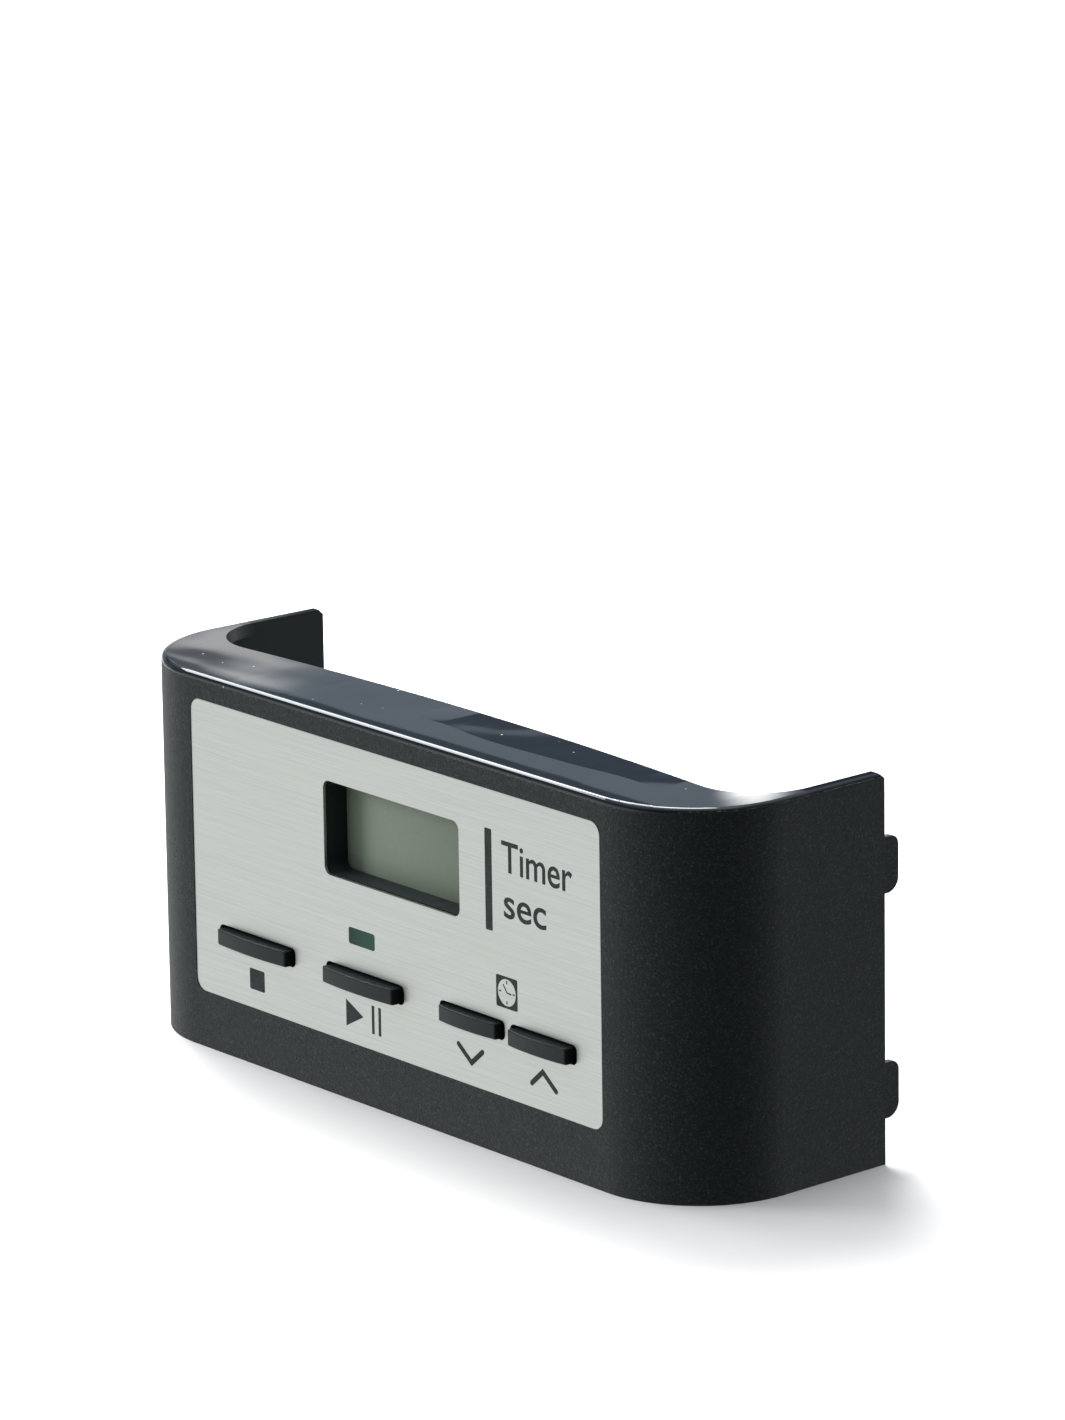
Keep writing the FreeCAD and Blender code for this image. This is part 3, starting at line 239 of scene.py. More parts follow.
class Finish:
    """One material, with short calls that add nodes to it."""

    def __init__(self, name):
        self.material = bpy.data.materials.new(name)
        self.material.use_nodes = True
        self.tree = self.material.node_tree
        self.tree.nodes.clear()
        self.shader = self.tree.nodes.new("ShaderNodeBsdfPrincipled")
        out = self.tree.nodes.new("ShaderNodeOutputMaterial")
        self.tree.links.new(self.shader.outputs[0], out.inputs[0])
        self.place = self.tree.nodes.new("ShaderNodeTexCoord")

    def feed(self, socket, item):
        """Links a node's output to a socket, or sets the socket to a value."""
        if isinstance(item, bpy.types.NodeSocket):
            self.tree.links.new(item, socket)
        elif isinstance(item, tuple) and len(item) == 3 and socket.type == "RGBA":
            socket.default_value = (*item, 1)
        else:
            socket.default_value = item

    def set(self, **items):
        """Feeds the shader's own sockets; an underscore in a name stands for a space."""
        for name, item in items.items():
            self.feed(self.shader.inputs[name.replace("_", " ")], item)

    def coords(self, stretch=(1, 1, 1)):
        """Places on the piece, in metres, times the stretch."""
        mapping = self.tree.nodes.new("ShaderNodeMapping")
        self.feed(mapping.inputs["Vector"], self.place.outputs["Object"])
        mapping.inputs["Scale"].default_value = stretch
        return mapping.outputs[0]

    def axis(self, letter, source="Object"):
        """One coordinate of the place on the piece, or of its normal."""
        parts = self.tree.nodes.new("ShaderNodeSeparateXYZ")
        self.feed(parts.inputs[0], self.place.outputs[source])
        return parts.outputs[letter]

    def noise(self, scale, detail=3.0, stretch=(1, 1, 1), rough=0.5):
        node = self.tree.nodes.new("ShaderNodeTexNoise")
        self.feed(node.inputs["Vector"], self.coords(stretch))
        node.inputs["Scale"].default_value = scale
        node.inputs["Detail"].default_value = detail
        node.inputs["Roughness"].default_value = rough
        return node.outputs["Fac"]

    def cells(self, scale, output="Distance"):
        node = self.tree.nodes.new("ShaderNodeTexVoronoi")
        self.feed(node.inputs["Vector"], self.coords())
        node.inputs["Scale"].default_value = scale
        return node.outputs[output]

    def spread(self, item, low, high, to_low=0.0, to_high=1.0):
        """The item, with low to high stretched over to_low to to_high and cut off there."""
        node = self.tree.nodes.new("ShaderNodeMapRange")
        for socket, each in zip(node.inputs, (item, low, high, to_low, to_high)):
            self.feed(socket, each)
        return node.outputs[0]

    def drift(self, noise, to_low=0.0, to_high=1.0):
        """A noise stretched over to_low to to_high."""
        return self.spread(noise, NOISE_LOW, NOISE_HIGH, to_low, to_high)

    def math(self, job, first, second=0.0):
        node = self.tree.nodes.new("ShaderNodeMath")
        node.operation = job
        self.feed(node.inputs[0], first)
        self.feed(node.inputs[1], second)
        return node.outputs[0]

    def add(self, first, second):
        return self.math("ADD", first, second)

    def less(self, first, second):
        return self.math("SUBTRACT", first, second)

    def times(self, first, *others):
        for other in others:
            first = self.math("MULTIPLY", first, other)
        return first

    def outside(self, mask):
        return self.less(1.0, mask)

    def blend(self, share, first, second):
        """A colour between two colours."""
        node = self.tree.nodes.new("ShaderNodeMix")
        node.data_type = "RGBA"
        self.feed(node.inputs[0], share)
        self.feed(node.inputs[6], first)
        self.feed(node.inputs[7], second)
        return node.outputs[2]

    def blend_value(self, share, first, second):
        """A number between two numbers."""
        node = self.tree.nodes.new("ShaderNodeMix")
        self.feed(node.inputs[0], share)
        self.feed(node.inputs[2], first)
        self.feed(node.inputs[3], second)
        return node.outputs[0]

    def soft_edges(self, radius):
        """Normals that are rounded along edges."""
        node = self.tree.nodes.new("ShaderNodeBevel")
        node.samples = 4
        node.inputs["Radius"].default_value = radius
        return node.outputs[0]

    def edge_mask(self, radius):
        """0 on flat ground and near 1 along sharp edges."""
        geometry = self.tree.nodes.new("ShaderNodeNewGeometry")
        dot = self.tree.nodes.new("ShaderNodeVectorMath")
        dot.operation = "DOT_PRODUCT"
        self.feed(dot.inputs[0], self.soft_edges(radius))
        self.feed(dot.inputs[1], geometry.outputs["Normal"])
        return self.spread(dot.outputs["Value"], 0.999, 0.80)

    def bump(self, height, depth, strength=1.0, under=None):
        """Normals of a relief; where under is given, the relief lies on those normals."""
        node = self.tree.nodes.new("ShaderNodeBump")
        node.inputs["Strength"].default_value = strength
        node.inputs["Distance"].default_value = depth
        self.feed(node.inputs["Height"], height)
        if under is not None:
            self.feed(node.inputs["Normal"], under)
        return node.outputs[0]


def moulded(name, colour, rough, grain=4000, depth=0.004 * MM, edge_gain=1.6, rounding=0.06 * MM,
            spread=0.12, **more):
    """A moulded, cast or drawn surface: fine grain, cloudy colour, and paler edges that are partly wear and
    partly a painted highlight.
    """
    f = Finish(name)
    edge_lift, wear_and_highlight_radius = 0.004, 0.12 * MM
    pale = tuple(min(1.0, c * edge_gain + edge_lift) for c in colour)
    dim = tuple(c * (1 - spread) for c in colour)
    bright = tuple(min(1.0, c * (1 + spread)) for c in colour)
    cloudy = f.blend(f.noise(160, 4), dim, bright)
    # paler edges: partly wear, partly a painted highlight along every sharp edge
    f.set(Base_Color=f.blend(f.times(f.edge_mask(wear_and_highlight_radius), f.noise(900, 3)), cloudy, pale))
    f.set(Roughness=f.drift(f.noise(420, 5), rough * 0.85, min(1, rough * 1.15)))
    f.set(Normal=f.bump(f.noise(grain, 3), depth, under=f.soft_edges(rounding) if rounding else None))
    f.set(**more)
    return f.material


def cover_masks(f):
    """Masks of the cover: polished deck, that deck without the wings' tops, those tops, grained outside."""
    at_side = f.spread(f.math("ABSOLUTE", f.axis("X")), 54 * MM, 60 * MM)
    border = f.blend_value(at_side, -1.0 * MM, -0.5 * MM)       # where the polish ends, from the top down
    ragged = f.drift(f.noise(2600, 2), -0.06 * MM, 0.06 * MM)
    above = f.less(f.less(f.less(f.axis("Z"), COVER_TOP), border), ragged)
    # above 0 on faces that look away from the middle of the cover, and below 0 on its inner faces
    outward = f.add(f.times(f.axis("X"), f.axis("X", "Normal")), f.times(f.axis("Y"), f.axis("Y", "Normal")))
    polished = f.times(f.spread(above, -0.02 * MM, 0.02 * MM),
                       f.spread(outward, -3 * MM, -1 * MM),
                       f.spread(f.axis("Y", "Normal"), 0.7, 0.4))
    textured = f.times(f.spread(outward, 2 * MM, 5 * MM), f.outside(polished))
    on_wing = f.spread(f.axis("Y"), 3.0 * MM, 4.5 * MM)
    glossy = f.times(polished, f.outside(on_wing))
    return polished, glossy, on_wing, textured


def cover_relief(f, pits, polished, glossy, on_wing, textured):
    """The cover's normals: spark grain outside; on the deck a crowned front edge, a sunk rear and waves."""
    normals = f.bump(f.times(pits, textured), 0.20 * MM)
    normals = f.bump(f.times(f.noise(2500, 3), f.outside(polished)), 0.004 * MM, under=normals)
    flat = f.spread(f.axis("Z", "Normal"), 0.98, 0.9999)
    near_edge = f.spread(f.less(f.axis("Y"), COVER_FRONT), 0.8 * MM, 3.6 * MM, 1.0, 0.0)
    edge_drop = -0.09 * MM
    normals = f.bump(f.times(f.math("POWER", near_edge, 2.0), flat), edge_drop, under=normals)

    swell = f.less(f.noise(28, 1.4, (1, 1.5, 1), 0.35), 0.5)    # slow, and centred on 0
    rear_band, band_wander, rear_slope = -12.5 * MM, 14 * MM, 0.045
    behind = f.add(f.less(f.axis("Y"), rear_band), f.times(swell, band_wander))
    reach = f.times(f.spread(f.axis("X"), -5 * MM, 1 * MM),
                    f.spread(f.axis("X"), 43 * MM, 49 * MM, 1.0, 0.0))
    sunk = f.times(f.math("MAXIMUM", behind, 0.0), f.times(reach, glossy), flat)
    normals = f.bump(sunk, rear_slope, under=normals)

    wave_height = 1.5 * MM
    wavy = f.times(glossy, flat,
                   f.spread(f.axis("X"), 40 * MM, 60 * MM, 1.0, 0.0),
                   f.spread(f.axis("X"), -38 * MM, -26 * MM, 1.0, 0.3))
    normals = f.bump(f.times(swell, wavy), wave_height, under=normals)

    wing_slope = -0.036         # the wings' thin tops lean, so they mirror a darker part of the sky
    past_middle = f.less(f.axis("X"), f.times(f.math("SIGN", f.axis("X")), WING_MIDDLE))
    return f.bump(f.times(past_middle, f.times(on_wing, flat)), wing_slope, under=normals)


def cover_finish():
    """Black moulding: a polished, slightly wavy deck over spark-textured sides."""
    f = Finish("cover_plastic")
    polished, glossy, on_wing, textured = cover_masks(f)

    specks = f.times(f.spread(f.cells(300), 0.055, 0.035), f.spread(f.noise(38, 2), 0.52, 0.56))
    dust = f.times(specks, polished)
    pits = f.noise(3300, 4, rough=0.7)
    # painted glints: pale specks in the grain's colour that stand in for light caught by the spark texture
    painted_glints = f.math("POWER", f.cells(4000, "Color"), 4.0)
    grained = f.blend(f.spread(pits, 0.45, 0.75), (0.0040, 0.0050, 0.0050), (0.0155, 0.0190, 0.0190))
    grained = f.blend(f.times(painted_glints, 0.9), grained, (0.046, 0.052, 0.052))
    plain = f.blend(f.noise(120, 3), (0.024, 0.031, 0.034), (0.036, 0.046, 0.050))
    gloss = f.blend(f.noise(60, 3), (0.004, 0.005, 0.008), (0.007, 0.009, 0.013))
    tone = f.blend(polished, f.blend(textured, plain, grained), gloss)
    # paler outer edges: partly wear, partly a painted highlight along sharp edges
    worn_and_highlit_edges = f.times(f.edge_mask(0.2 * MM), f.spread(f.noise(1500, 3), 0.4, 0.7, 0.0, 0.35))
    tone = f.blend(f.times(worn_and_highlit_edges, f.outside(polished)), tone, (0.09, 0.10, 0.10))
    f.set(Base_Color=f.blend(dust, tone, (0.55, 0.55, 0.55)))

    scratch = f.spread(f.noise(90, 6, (30, 1, 30)), 0.60, 0.72, 0.0, 0.06)
    smooth = f.add(f.drift(f.noise(70, 4), 0.03, 0.07), scratch)
    rough = f.blend_value(textured, f.drift(f.noise(300, 4), 0.36, 0.48), f.drift(pits, 0.42, 0.56))
    rough = f.blend_value(polished, rough, smooth)
    f.set(Roughness=f.add(rough, f.times(dust, 0.5)))

    f.set(Normal=cover_relief(f, pits, polished, glossy, on_wing, textured))
    f.set(Specular_IOR_Level=0.26, Specular_Tint=(0.80, 0.98, 1.0))
    f.set(Coat_Weight=f.times(glossy, 0.2), Coat_Roughness=0.04)
    return f.material


def plate_finish():
    """Thin metal sheet, brushed along its length."""
    f = Finish("brushed_plate")
    long_lines = f.noise(1, 4, (36, 36, 5200), 0.6)
    short_lines = f.noise(1, 3, (140, 140, 9000), 0.6)
    lines = f.add(f.times(long_lines, 0.6), f.times(short_lines, 0.4))
    cloud = f.noise(22, 3, (1, 1, 2.5))
    tone = f.blend(f.spread(lines, 0.34, 0.66), (0.395, 0.405, 0.385), (0.525, 0.537, 0.515))
    tone = f.blend(f.drift(cloud, 0.0, 0.16), tone, (0.45, 0.465, 0.445))
    tone = f.blend(f.times(f.edge_mask(0.15 * MM), 0.7), tone, (0.22, 0.23, 0.22))
    f.set(Base_Color=tone, Metallic=0.8)
    f.set(Roughness=f.drift(lines, 0.30, 0.46))
    f.set(Normal=f.bump(lines, 0.008 * MM, 0.7))
    return f.material


def lens_finish():
    """Dark green window, a little lighter at its right end."""
    f = Finish("lamp_lens")
    right_end = f.spread(f.axis("X"), -9.4 * MM, -6.0 * MM)
    tone = f.blend(f.times(right_end, f.drift(f.noise(260, 3), 0.7, 1.0)),
                   (0.004, 0.030, 0.024), (0.008, 0.072, 0.047))
    f.set(Base_Color=tone, Specular_IOR_Level=0.16)
    f.set(Roughness=f.drift(f.noise(300, 3), 0.22, 0.34))
    f.set(Normal=f.bump(f.noise(1800, 2), 0.002 * MM, under=f.soft_edges(0.08 * MM)))
    return f.material


def display_finish():
    """Grey-green film over a dead display, with fine grain; painted light makes it lighter at the left,
    where the window's walls cast shade, and darker to the right.
    """
    f = Finish("display_film")
    # painted light: a fade from lighter at the left to darker at the right, which offsets the shade the
    # window's walls cast on the left
    painted_light_across = f.spread(f.axis("X"), -15 * MM, 15 * MM)
    tone = f.blend(painted_light_across, (0.275, 0.325, 0.250), (0.155, 0.185, 0.138))
    tone = f.blend(f.drift(f.noise(2200, 3), 0.0, 0.10), tone, (0.10, 0.12, 0.10))
    f.set(Base_Color=tone, Specular_IOR_Level=0.3)
    f.set(Roughness=f.drift(f.noise(900, 3), 0.36, 0.46))
    f.set(Normal=f.bump(f.noise(5200, 2), 0.002 * MM))
    return f.material


def board_finish():
    """Solder mask: deep green over woven glass, with bare yellowish edges."""
    f = Finish("board_green")
    threads = 9000              # radians per metre
    weave = f.times(f.math("SINE", f.times(f.axis("X"), threads)),
                    f.math("SINE", f.times(f.axis("Z"), threads)))
    tone = f.blend(f.drift(f.noise(90, 4)), (0.005, 0.052, 0.024), (0.009, 0.075, 0.034))
    tone = f.blend(f.drift(f.noise(1400, 3), 0.0, 0.3), tone, (0.004, 0.036, 0.017))
    tone = f.blend(f.times(f.edge_mask(0.2 * MM), 0.8), tone, (0.16, 0.17, 0.09))
    f.set(Base_Color=tone)
    f.set(Roughness=f.drift(f.noise(700, 4), 0.30, 0.45))
    f.set(Normal=f.bump(weave, 0.004 * MM))
    return f.material


def strip_finish():
    """Layered rubber: thin conducting lines between clear ones."""
    f = Finish("strip_rubber")
    layers = 30000              # radians per metre
    layer = f.math("SINE", f.times(f.axis("X"), layers))
    f.set(Base_Color=f.blend(f.spread(layer, -0.3, 0.3), (0.50, 0.20, 0.17), (0.10, 0.05, 0.05)))
    f.set(Roughness=f.drift(f.noise(600, 3), 0.6, 0.75))
    f.set(Normal=f.bump(f.noise(3000, 3), 0.004 * MM))
    return f.material


def glass_finish():
    """Thin clear glass with green edges."""
    f = Finish("display_glass")
    f.set(Base_Color=f.blend(f.edge_mask(0.2 * MM), (0.72, 0.80, 0.74), (0.45, 0.62, 0.52)))
    f.set(Roughness=f.drift(f.noise(500, 3), 0.03, 0.09))
    f.set(Normal=f.bump(f.noise(400, 2), 0.001 * MM), Transmission_Weight=0.8, IOR=1.5)
    return f.material


def floor_finish():
    """White paper."""
    f = Finish("floor_paper")
    f.set(Base_Color=f.blend(f.noise(14, 4), (0.88, 0.88, 0.88), (0.90, 0.90, 0.90)))
    f.set(Roughness=f.drift(f.noise(30, 4), 0.85, 0.95), Specular_IOR_Level=0.1)
    return f.material


def ink_finish():
    """Dark print, with the plate's brushing showing through."""
    f = Finish("print_ink")
    f.set(Base_Color=f.blend(f.spread(f.noise(2600, 4), 0.35, 0.7),
                             (0.012, 0.015, 0.016), (0.023, 0.027, 0.027)))
    f.set(Roughness=f.drift(f.noise(700, 3), 0.45, 0.6), Specular_IOR_Level=0.2)
    f.set(Normal=f.bump(f.noise(1, 3, (36, 36, 5200)), 0.003 * MM))
    return f.material


def metal(name, colour, rough, **more):
    return moulded(name, colour, rough, Metallic=1.0, **more)


def make_finishes():
    """Every finish, under the name of its material slot in the record."""
    return {
        "glue_film": moulded("glue_film", (0.62, 0.60, 0.52), 0.45),
        "button_plastic": moulded("button_plastic", (0.0140, 0.0180, 0.0180), 0.30, grain=6000,
                                  depth=0.0006 * MM, edge_gain=1.0, rounding=0,
                                  Specular_IOR_Level=0.15, Specular_Tint=(0.86, 1.0, 1.0)),
        "plunger_plastic": moulded("plunger_plastic", (0.05, 0.05, 0.052), 0.42),
        "switch_plastic": moulded("switch_plastic", (0.018, 0.018, 0.019), 0.55),
        "switch_metal": metal("switch_metal", (0.62, 0.62, 0.60), 0.28, edge_gain=1.3),
        "dome_metal": metal("dome_metal", (0.55, 0.54, 0.50), 0.25, edge_gain=1.3),
        "tinned_metal": metal("tinned_metal", (0.66, 0.66, 0.64), 0.22, edge_gain=1.3),
        "screw_steel": metal("screw_steel", (0.50, 0.50, 0.48), 0.34, depth=0.0008 * MM, edge_gain=1.4),
        "frame_plastic": moulded("frame_plastic", (0.004, 0.005, 0.004), 0.14, grain=1200,
                                 depth=0.0008 * MM, Specular_IOR_Level=0.3),
        "guide_plastic": moulded("guide_plastic", (0.80, 0.82, 0.80), 0.35, edge_gain=1.1),
        "lamp_body": moulded("lamp_body", (0.78, 0.74, 0.55), 0.35, edge_gain=1.1),
        "chip_plastic": moulded("chip_plastic", (0.020, 0.020, 0.021), 0.55, grain=6000, depth=0.008 * MM),
        "crystal_steel": metal("crystal_steel", (0.42, 0.42, 0.42), 0.42, depth=0.001 * MM, edge_gain=1.3),
        "can_aluminium": metal("can_aluminium", (0.46, 0.47, 0.48), 0.42, depth=0.001 * MM, edge_gain=1.2),
        "chip_ceramic": moulded("chip_ceramic", (0.38, 0.27, 0.17), 0.45, spread=0.25),
        "socket_nylon": moulded("socket_nylon", (0.78, 0.75, 0.66), 0.45, edge_gain=1.15),
        "contact_brass": metal("contact_brass", (0.80, 0.62, 0.28), 0.22, edge_gain=1.2),
        "cover_plastic": cover_finish(),
        "brushed_plate": plate_finish(),
        "lamp_lens": lens_finish(),
        "display_film": display_finish(),
        "display_glass": glass_finish(),
        "board_green": board_finish(),
        "strip_rubber": strip_finish(),
    }


def dress_nodes(finishes):
    """Each CAD node takes the finish of its slot in the record."""
    for part in frame["record"]["subparts"]:
        node = frame["nodes"][part["node"]]
        for slot in node.material_slots:
            slot.material = finishes[part["material_slot"]]


# Flat shapes, drawn as (x, z) loops in millimetres

def loop_circle(x, z, radius, count=48):
    turns = [2 * math.pi * i / count for i in range(count)]
    return [(x + radius * math.cos(t), z + radius * math.sin(t)) for t in turns]


def loop_box(left, low, right, high, corner=0.25, count=5):
    """A rectangle with rounded corners."""
    points = []
    for cx, cz, start in ((right - corner, high - corner, 0), (left + corner, high - corner, 90),
                          (left + corner, low + corner, 180), (right - corner, low + corner, 270)):
        for i in range(count + 1):
            turn = math.radians(start + 90 * i / count)
            points.append((cx + corner * math.cos(turn), cz + corner * math.sin(turn)))
    return points


def loop_stroke(points, width, count=8):
    """The outline of a line with round ends and mitred bends."""
    half, sharpest_mitre = width / 2, 0.3
    path = [Vector(p) for p in points]
    runs = [(b - a).normalized() for a, b in zip(path, path[1:])]

    def side(sign):
        made = []
        for before, after, corner in zip(runs, runs[1:], path[1:]):
            normal = (before + after).normalized().orthogonal()
            reach = half / max(sharpest_mitre, normal.dot(before.orthogonal()))
            made.append(corner + normal * reach * sign)
        return made

    def cap(centre, run):
        start = math.atan2(run.y, run.x) - math.pi / 2
        return [centre + half * Vector((math.cos(start + math.pi * i / count),
                                        math.sin(start + math.pi * i / count)))
                for i in range(count + 1)]

    outline = cap(path[-1], runs[-1]) + list(reversed(side(1)))
    outline += cap(path[0], -runs[0]) + side(-1)
    return [tuple(p) for p in outline]


def loop_frame(low, high, gap, width):
    """Two loops, one inside the other, that leave a thin frame round a box seen from the back."""
    inner = gap - width
    return [loop_box(low.x - gap, low.z - gap, high.x + gap, high.z + gap, 0.3),
            loop_box(low.x - inner, low.z - inner, high.x + inner, high.z + inner, 0.2)]


def weld(mesh):
    work = bmesh.new()
    work.from_mesh(mesh)
    bmesh.ops.remove_doubles(work, verts=work.verts, dist=0.0005 * MM)
    bmesh.ops.recalc_face_normals(work, faces=work.faces)
    work.to_mesh(mesh)
    work.free()


def stand_up(name, curve, y, finish, facing, thick):
    """Turns a flat curve or word into a mesh piece that stands on the plane y and rides on the panel."""
    flat = bpy.data.objects.new(name + "_flat", curve)
    bpy.context.scene.collection.objects.link(flat)
    bpy.context.view_layer.update()
    mesh = bpy.data.meshes.new_from_object(flat.evaluated_get(bpy.context.evaluated_depsgraph_get()))
    bpy.data.objects.remove(flat)
    turn = Matrix.Rotation(math.radians(90), 4, "X")
    if facing > 0:
        turn = Matrix.Rotation(math.radians(180), 4, "Z") @ turn
    mesh.transform(Matrix.Translation((0, y + facing * thick / 2, 0)) @ turn)
    weld(mesh)
    mesh.name = name
    piece = bpy.data.objects.new(name, mesh)
    bpy.context.scene.collection.objects.link(piece)
    mesh.materials.clear()
    mesh.materials.append(finish)
    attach(piece, "panel")
    return piece


def thin_piece(name, loops, y, finish, facing=-1, thick=INK_THICK):
    """Loops filled and given thickness, standing out from the plane y towards the facing side."""
    curve = bpy.data.curves.new(name, "CURVE")
    curve.dimensions = "2D"
    curve.fill_mode = "BOTH"
    curve.extrude = thick / 2
    for loop in loops:
        spline = curve.splines.new("POLY")
        spline.points.add(len(loop) - 1)
        for point, (u, v) in zip(spline.points, loop):
            point.co = (u * MM * -facing, v * MM, 0, 1)
        spline.use_cyclic_u = True
    stand_up(name, curve, y, finish, facing, thick)


def printed_word(name, text, x, z, tall, wide, finish):
    """A generic word that starts at x, with its feet on z, capitals tall and the whole word wide."""
    curve = bpy.data.curves.new(name, "FONT")
    curve.body = text
    curve.size = 1.0
    probe = bpy.data.objects.new(name + "_probe", curve)
    bpy.context.scene.collection.objects.link(probe)
    bpy.context.view_layer.update()
    wide_at_size_1 = probe.dimensions.x
    bpy.data.objects.remove(probe)
    curve.size = tall * MM / CAPITAL_SHARE
    curve.offset = 0.05 * MM
    curve.extrude = INK_THICK / 2
    piece = stand_up(name, curve, PLATE_FRONT, finish, -1, INK_THICK)
    stretch = wide / (wide_at_size_1 * tall / CAPITAL_SHARE)
    piece.data.transform(Matrix.Diagonal((stretch, 1, 1, 1)))
    piece.data.transform(Matrix.Translation((x * MM, 0, z * MM)))


def make_prints():
    """Stop, play and pause, down and up, a clock and a bar with two generic words."""
    ink = ink_finish()

    def printed(name, *loops):
        thin_piece("print_" + name, loops, PLATE_FRONT, ink)

    printed("stop", loop_box(-33.85, 11.6, -30.35, 14.8))
    printed("play", [(-11.0, 11.10), (-7.0, 13.24), (-11.0, 15.17)])
    printed("pause", loop_box(-5.03, 11.2, -4.47, 15.5, 0.1), loop_box(-3.49, 11.2, -2.93, 15.5, 0.1))
    arrow_width = 0.78
    printed("down", loop_stroke([(14.84, 14.32), (17.74, 12.12), (20.22, 14.26)], arrow_width))
    printed("up", loop_stroke([(31.2, 12.3), (33.65, 14.46), (36.55, 12.22)], arrow_width))

    x, z, half, dial = 25.9, 24.42, 2.35, 2.0
    tick_from, tick_to = 1.35, 1.66
    ticks = [loop_stroke([(x + math.sin(t) * tick_from, z + math.cos(t) * tick_from),
                          (x + math.sin(t) * tick_to, z + math.cos(t) * tick_to)], 0.2)
             for t in (0, math.pi / 2, math.pi, math.pi * 1.5)]
    hands = loop_stroke([(x - 0.75, z + 1.05), (x, z), (x + 0.95, z - 0.1)], 0.19)
    printed("clock", loop_box(x - half, z - half, x + half, z + half, 0.3),
            loop_circle(x, z, dial), hands, *ticks)

    printed("bar", loop_box(21.45, 32.9, 22.95, 47.9, 0.2))
    printed_word("print_word_top", "Timer", 25.1, 42.3, 4.5, 15.4, ink)
    printed_word("print_word_low", "sec", 25.3, 35.6, 4.5, 9.2, ink)


# The back of the board

def chip_middle():
    """Half way up the chip, in millimetres."""
    low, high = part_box("microcontroller")
    return (low.z + high.z) / 2 / MM


def islands(node):
    """(lowest, highest) corners in millimetres of each solid of a CAD node, left to right, low to high."""
    work = bmesh.new()
    work.from_mesh(frame["nodes"][node].data)
    bmesh.ops.remove_doubles(work, verts=work.verts, dist=0.001 * MM)
    left, found = set(work.verts), []
    while left:
        group, reach = set(), [next(iter(left))]
        while reach:
            vert = reach.pop()
            if vert in group:
                continue
            group.add(vert)
            reach += [edge.other_vert(vert) for edge in vert.link_edges]
        left -= group
        found.append(tuple(Vector([job(v.co[i] for v in group) / MM for i in range(3)])
                           for job in (min, max)))
    work.free()
    return sorted(found, key=lambda pair: (round(pair[0].x, 2), round(pair[0].z, 2)))


def on_back(name, loops, finish, thick):
    """A thin piece on the back of the board, its thickness in millimetres."""
    thin_piece(name, loops, BOARD_BACK, finish, 1, thick * MM)


def make_outlines(finish):
    """White frames round the larger parts, and a dot beside the chip's first pin."""
    line, small_line = 0.2, 0.14
    gap, chip_gap, small_gap = 0.5, 1.9, 0.62
    loops = []
    for node in ("microcontroller", "crystal", "socket_shroud"):
        low, high = (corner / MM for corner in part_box(node))
        loops += loop_frame(low, high, chip_gap if node == "microcontroller" else gap, line)
    for low, high in islands("capacitor_feet"):
        loops += loop_frame(low, high, gap, line)
    for low, high in islands("chip_parts"):
        loops += loop_frame(low, high, small_gap, small_line)
    low, high = (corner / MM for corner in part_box("microcontroller"))
    dot_away, dot_radius = 1.1, 0.35
    loops.append(loop_circle(high.x + dot_away, low.z - dot_away, dot_radius, 20))
    on_back("board_legend", loops, finish, 0.02)


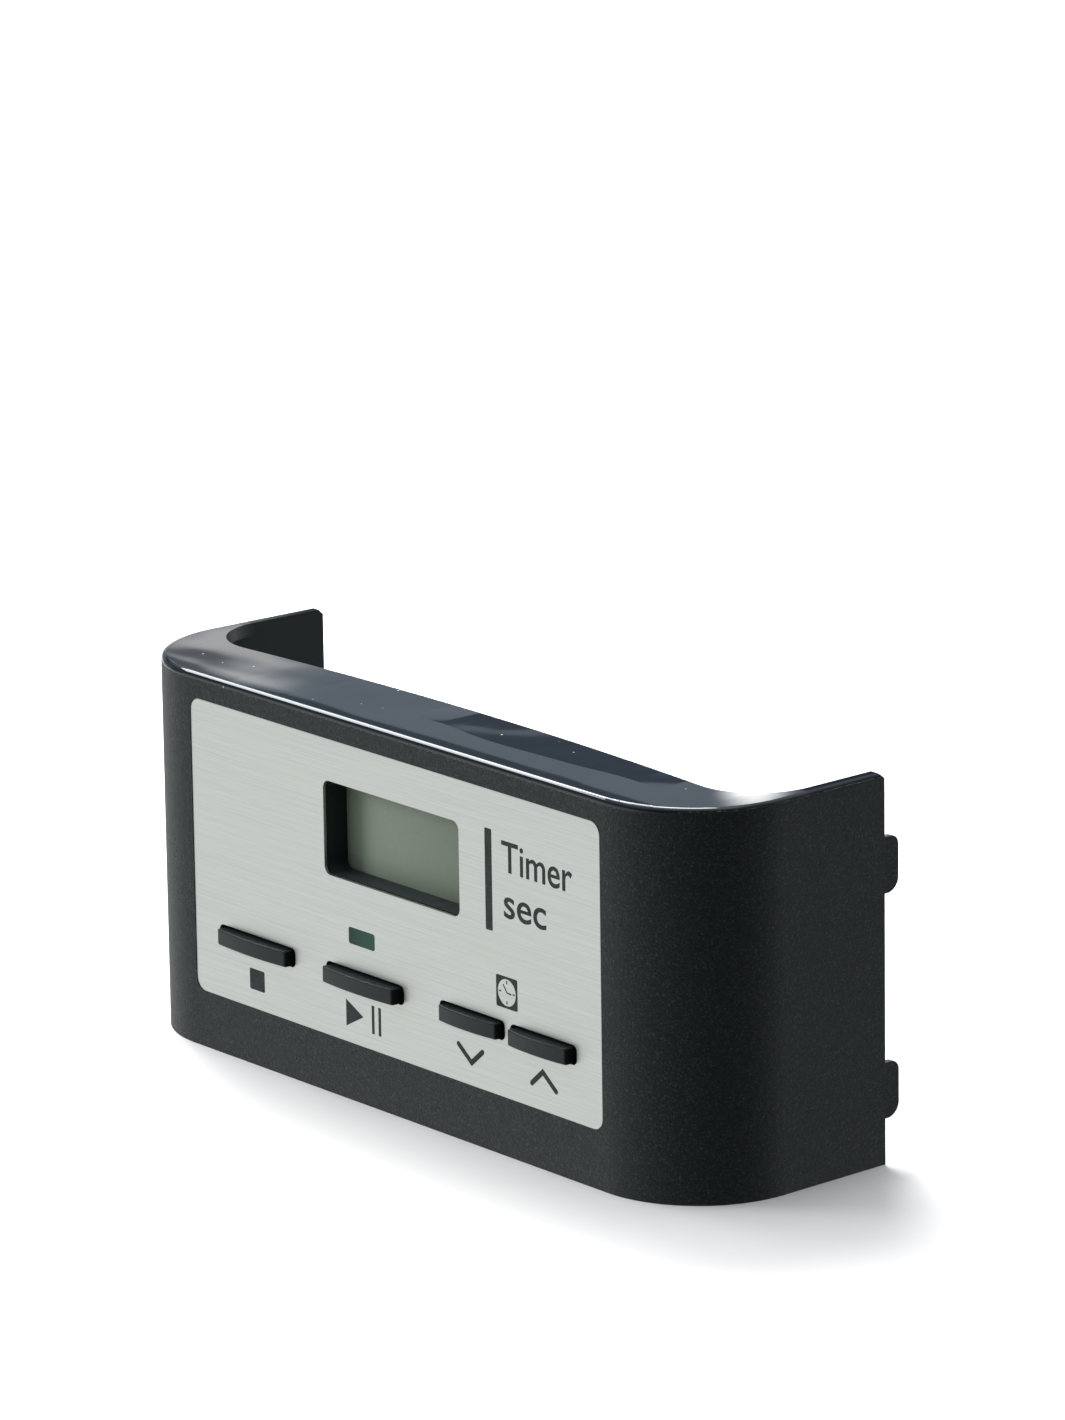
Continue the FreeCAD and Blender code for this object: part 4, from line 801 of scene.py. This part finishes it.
def make_pads(solder):
    """Solder under the ends of the small parts, the chip's pins and the cans' feet."""
    corner = 0.12
    loops = []
    for low, high in islands("chip_parts"):
        for x in (low.x, high.x):
            loops.append(loop_box(x - 0.42, low.z - 0.06, x + 0.42, high.z + 0.06, corner))
    for low, high in islands("microcontroller_pins"):
        tip = high.z if (low.z + high.z) / 2 > chip_middle() else low.z
        loops.append(loop_box(low.x - 0.1, tip - 0.55, high.x + 0.1, tip + 0.55, corner))
    for low, high in islands("capacitor_feet"):
        x, half, over, under = (low.x + high.x) / 2, 0.45, 0.45, 0.4
        loops += [loop_box(x - half, high.z - under, x + half, high.z + over, corner),
                  loop_box(x - half, low.z - over, x + half, low.z + under, corner)]
    on_back("solder_pads", loops, solder, 0.06)


def make_tracks(masked, solder):
    """Tracks from the chip's pins to plated holes, and stubs from the small parts."""
    width, stub_width = 0.28, 0.3
    short_stub, long_stub = 1.0, 1.75
    first_level, level_step = 1.6, 0.75         # how far above the chip the upper pins' tracks turn
    first_run, run_step, slant = 7, 2.6, 1.4    # how far they run to the side, and their slanting ends
    pins_in_row, first_to_right = 10, 5
    tracks, holes = [], []
    for rank, (low, high) in enumerate(islands("microcontroller_pins")):
        x, column = (low.x + high.x) / 2, rank // 2
        if (low.z + high.z) / 2 <= chip_middle():
            end = low.z - (short_stub if column % 2 else long_stub)
            tracks.append(loop_stroke([(x, low.z), (x, end)], width))
            holes.append((x, end))
            continue
        side = 1 if column >= first_to_right else -1
        level = high.z + first_level + level_step * (column if side < 0 else pins_in_row - 1 - column)
        turn = x + side * (first_run + run_step * abs(column - (pins_in_row - 1) / 2))
        end = (turn + side * slant, level + slant)
        tracks.append(loop_stroke([(x, high.z), (x, level), (turn, level), end], width))
        holes.append(end)
    for low, high in islands("chip_parts"):
        z = (low.z + high.z) / 2
        tracks.append(loop_stroke([(high.x + 0.3, z), (high.x + 1.0, z)], stub_width))
    on_back("board_tracks", tracks, masked, 0.012)
    rings = [ring for x, z in holes for ring in (loop_circle(x, z, 0.4, 24), loop_circle(x, z, 0.2, 16))]
    on_back("plated_holes", rings, solder, 0.03)


def make_board_detail():
    """White part outlines, solder pads, tracks under the mask and plated through-holes."""
    legend = moulded("board_legend", (0.72, 0.72, 0.68), 0.5, edge_gain=1.0)
    solder = metal("solder", (0.68, 0.68, 0.66), 0.24, grain=2600, depth=0.01 * MM)
    masked = moulded("masked_copper", (0.016, 0.135, 0.058), 0.34, edge_gain=1.0)
    make_outlines(legend)
    make_pads(solder)
    make_tracks(masked, solder)


bpy.context.scene.view_settings.view_transform = "Standard"
make_camera()
make_sky()
make_lights()
make_floor()
dress_nodes(make_finishes())
make_prints()
make_board_detail()
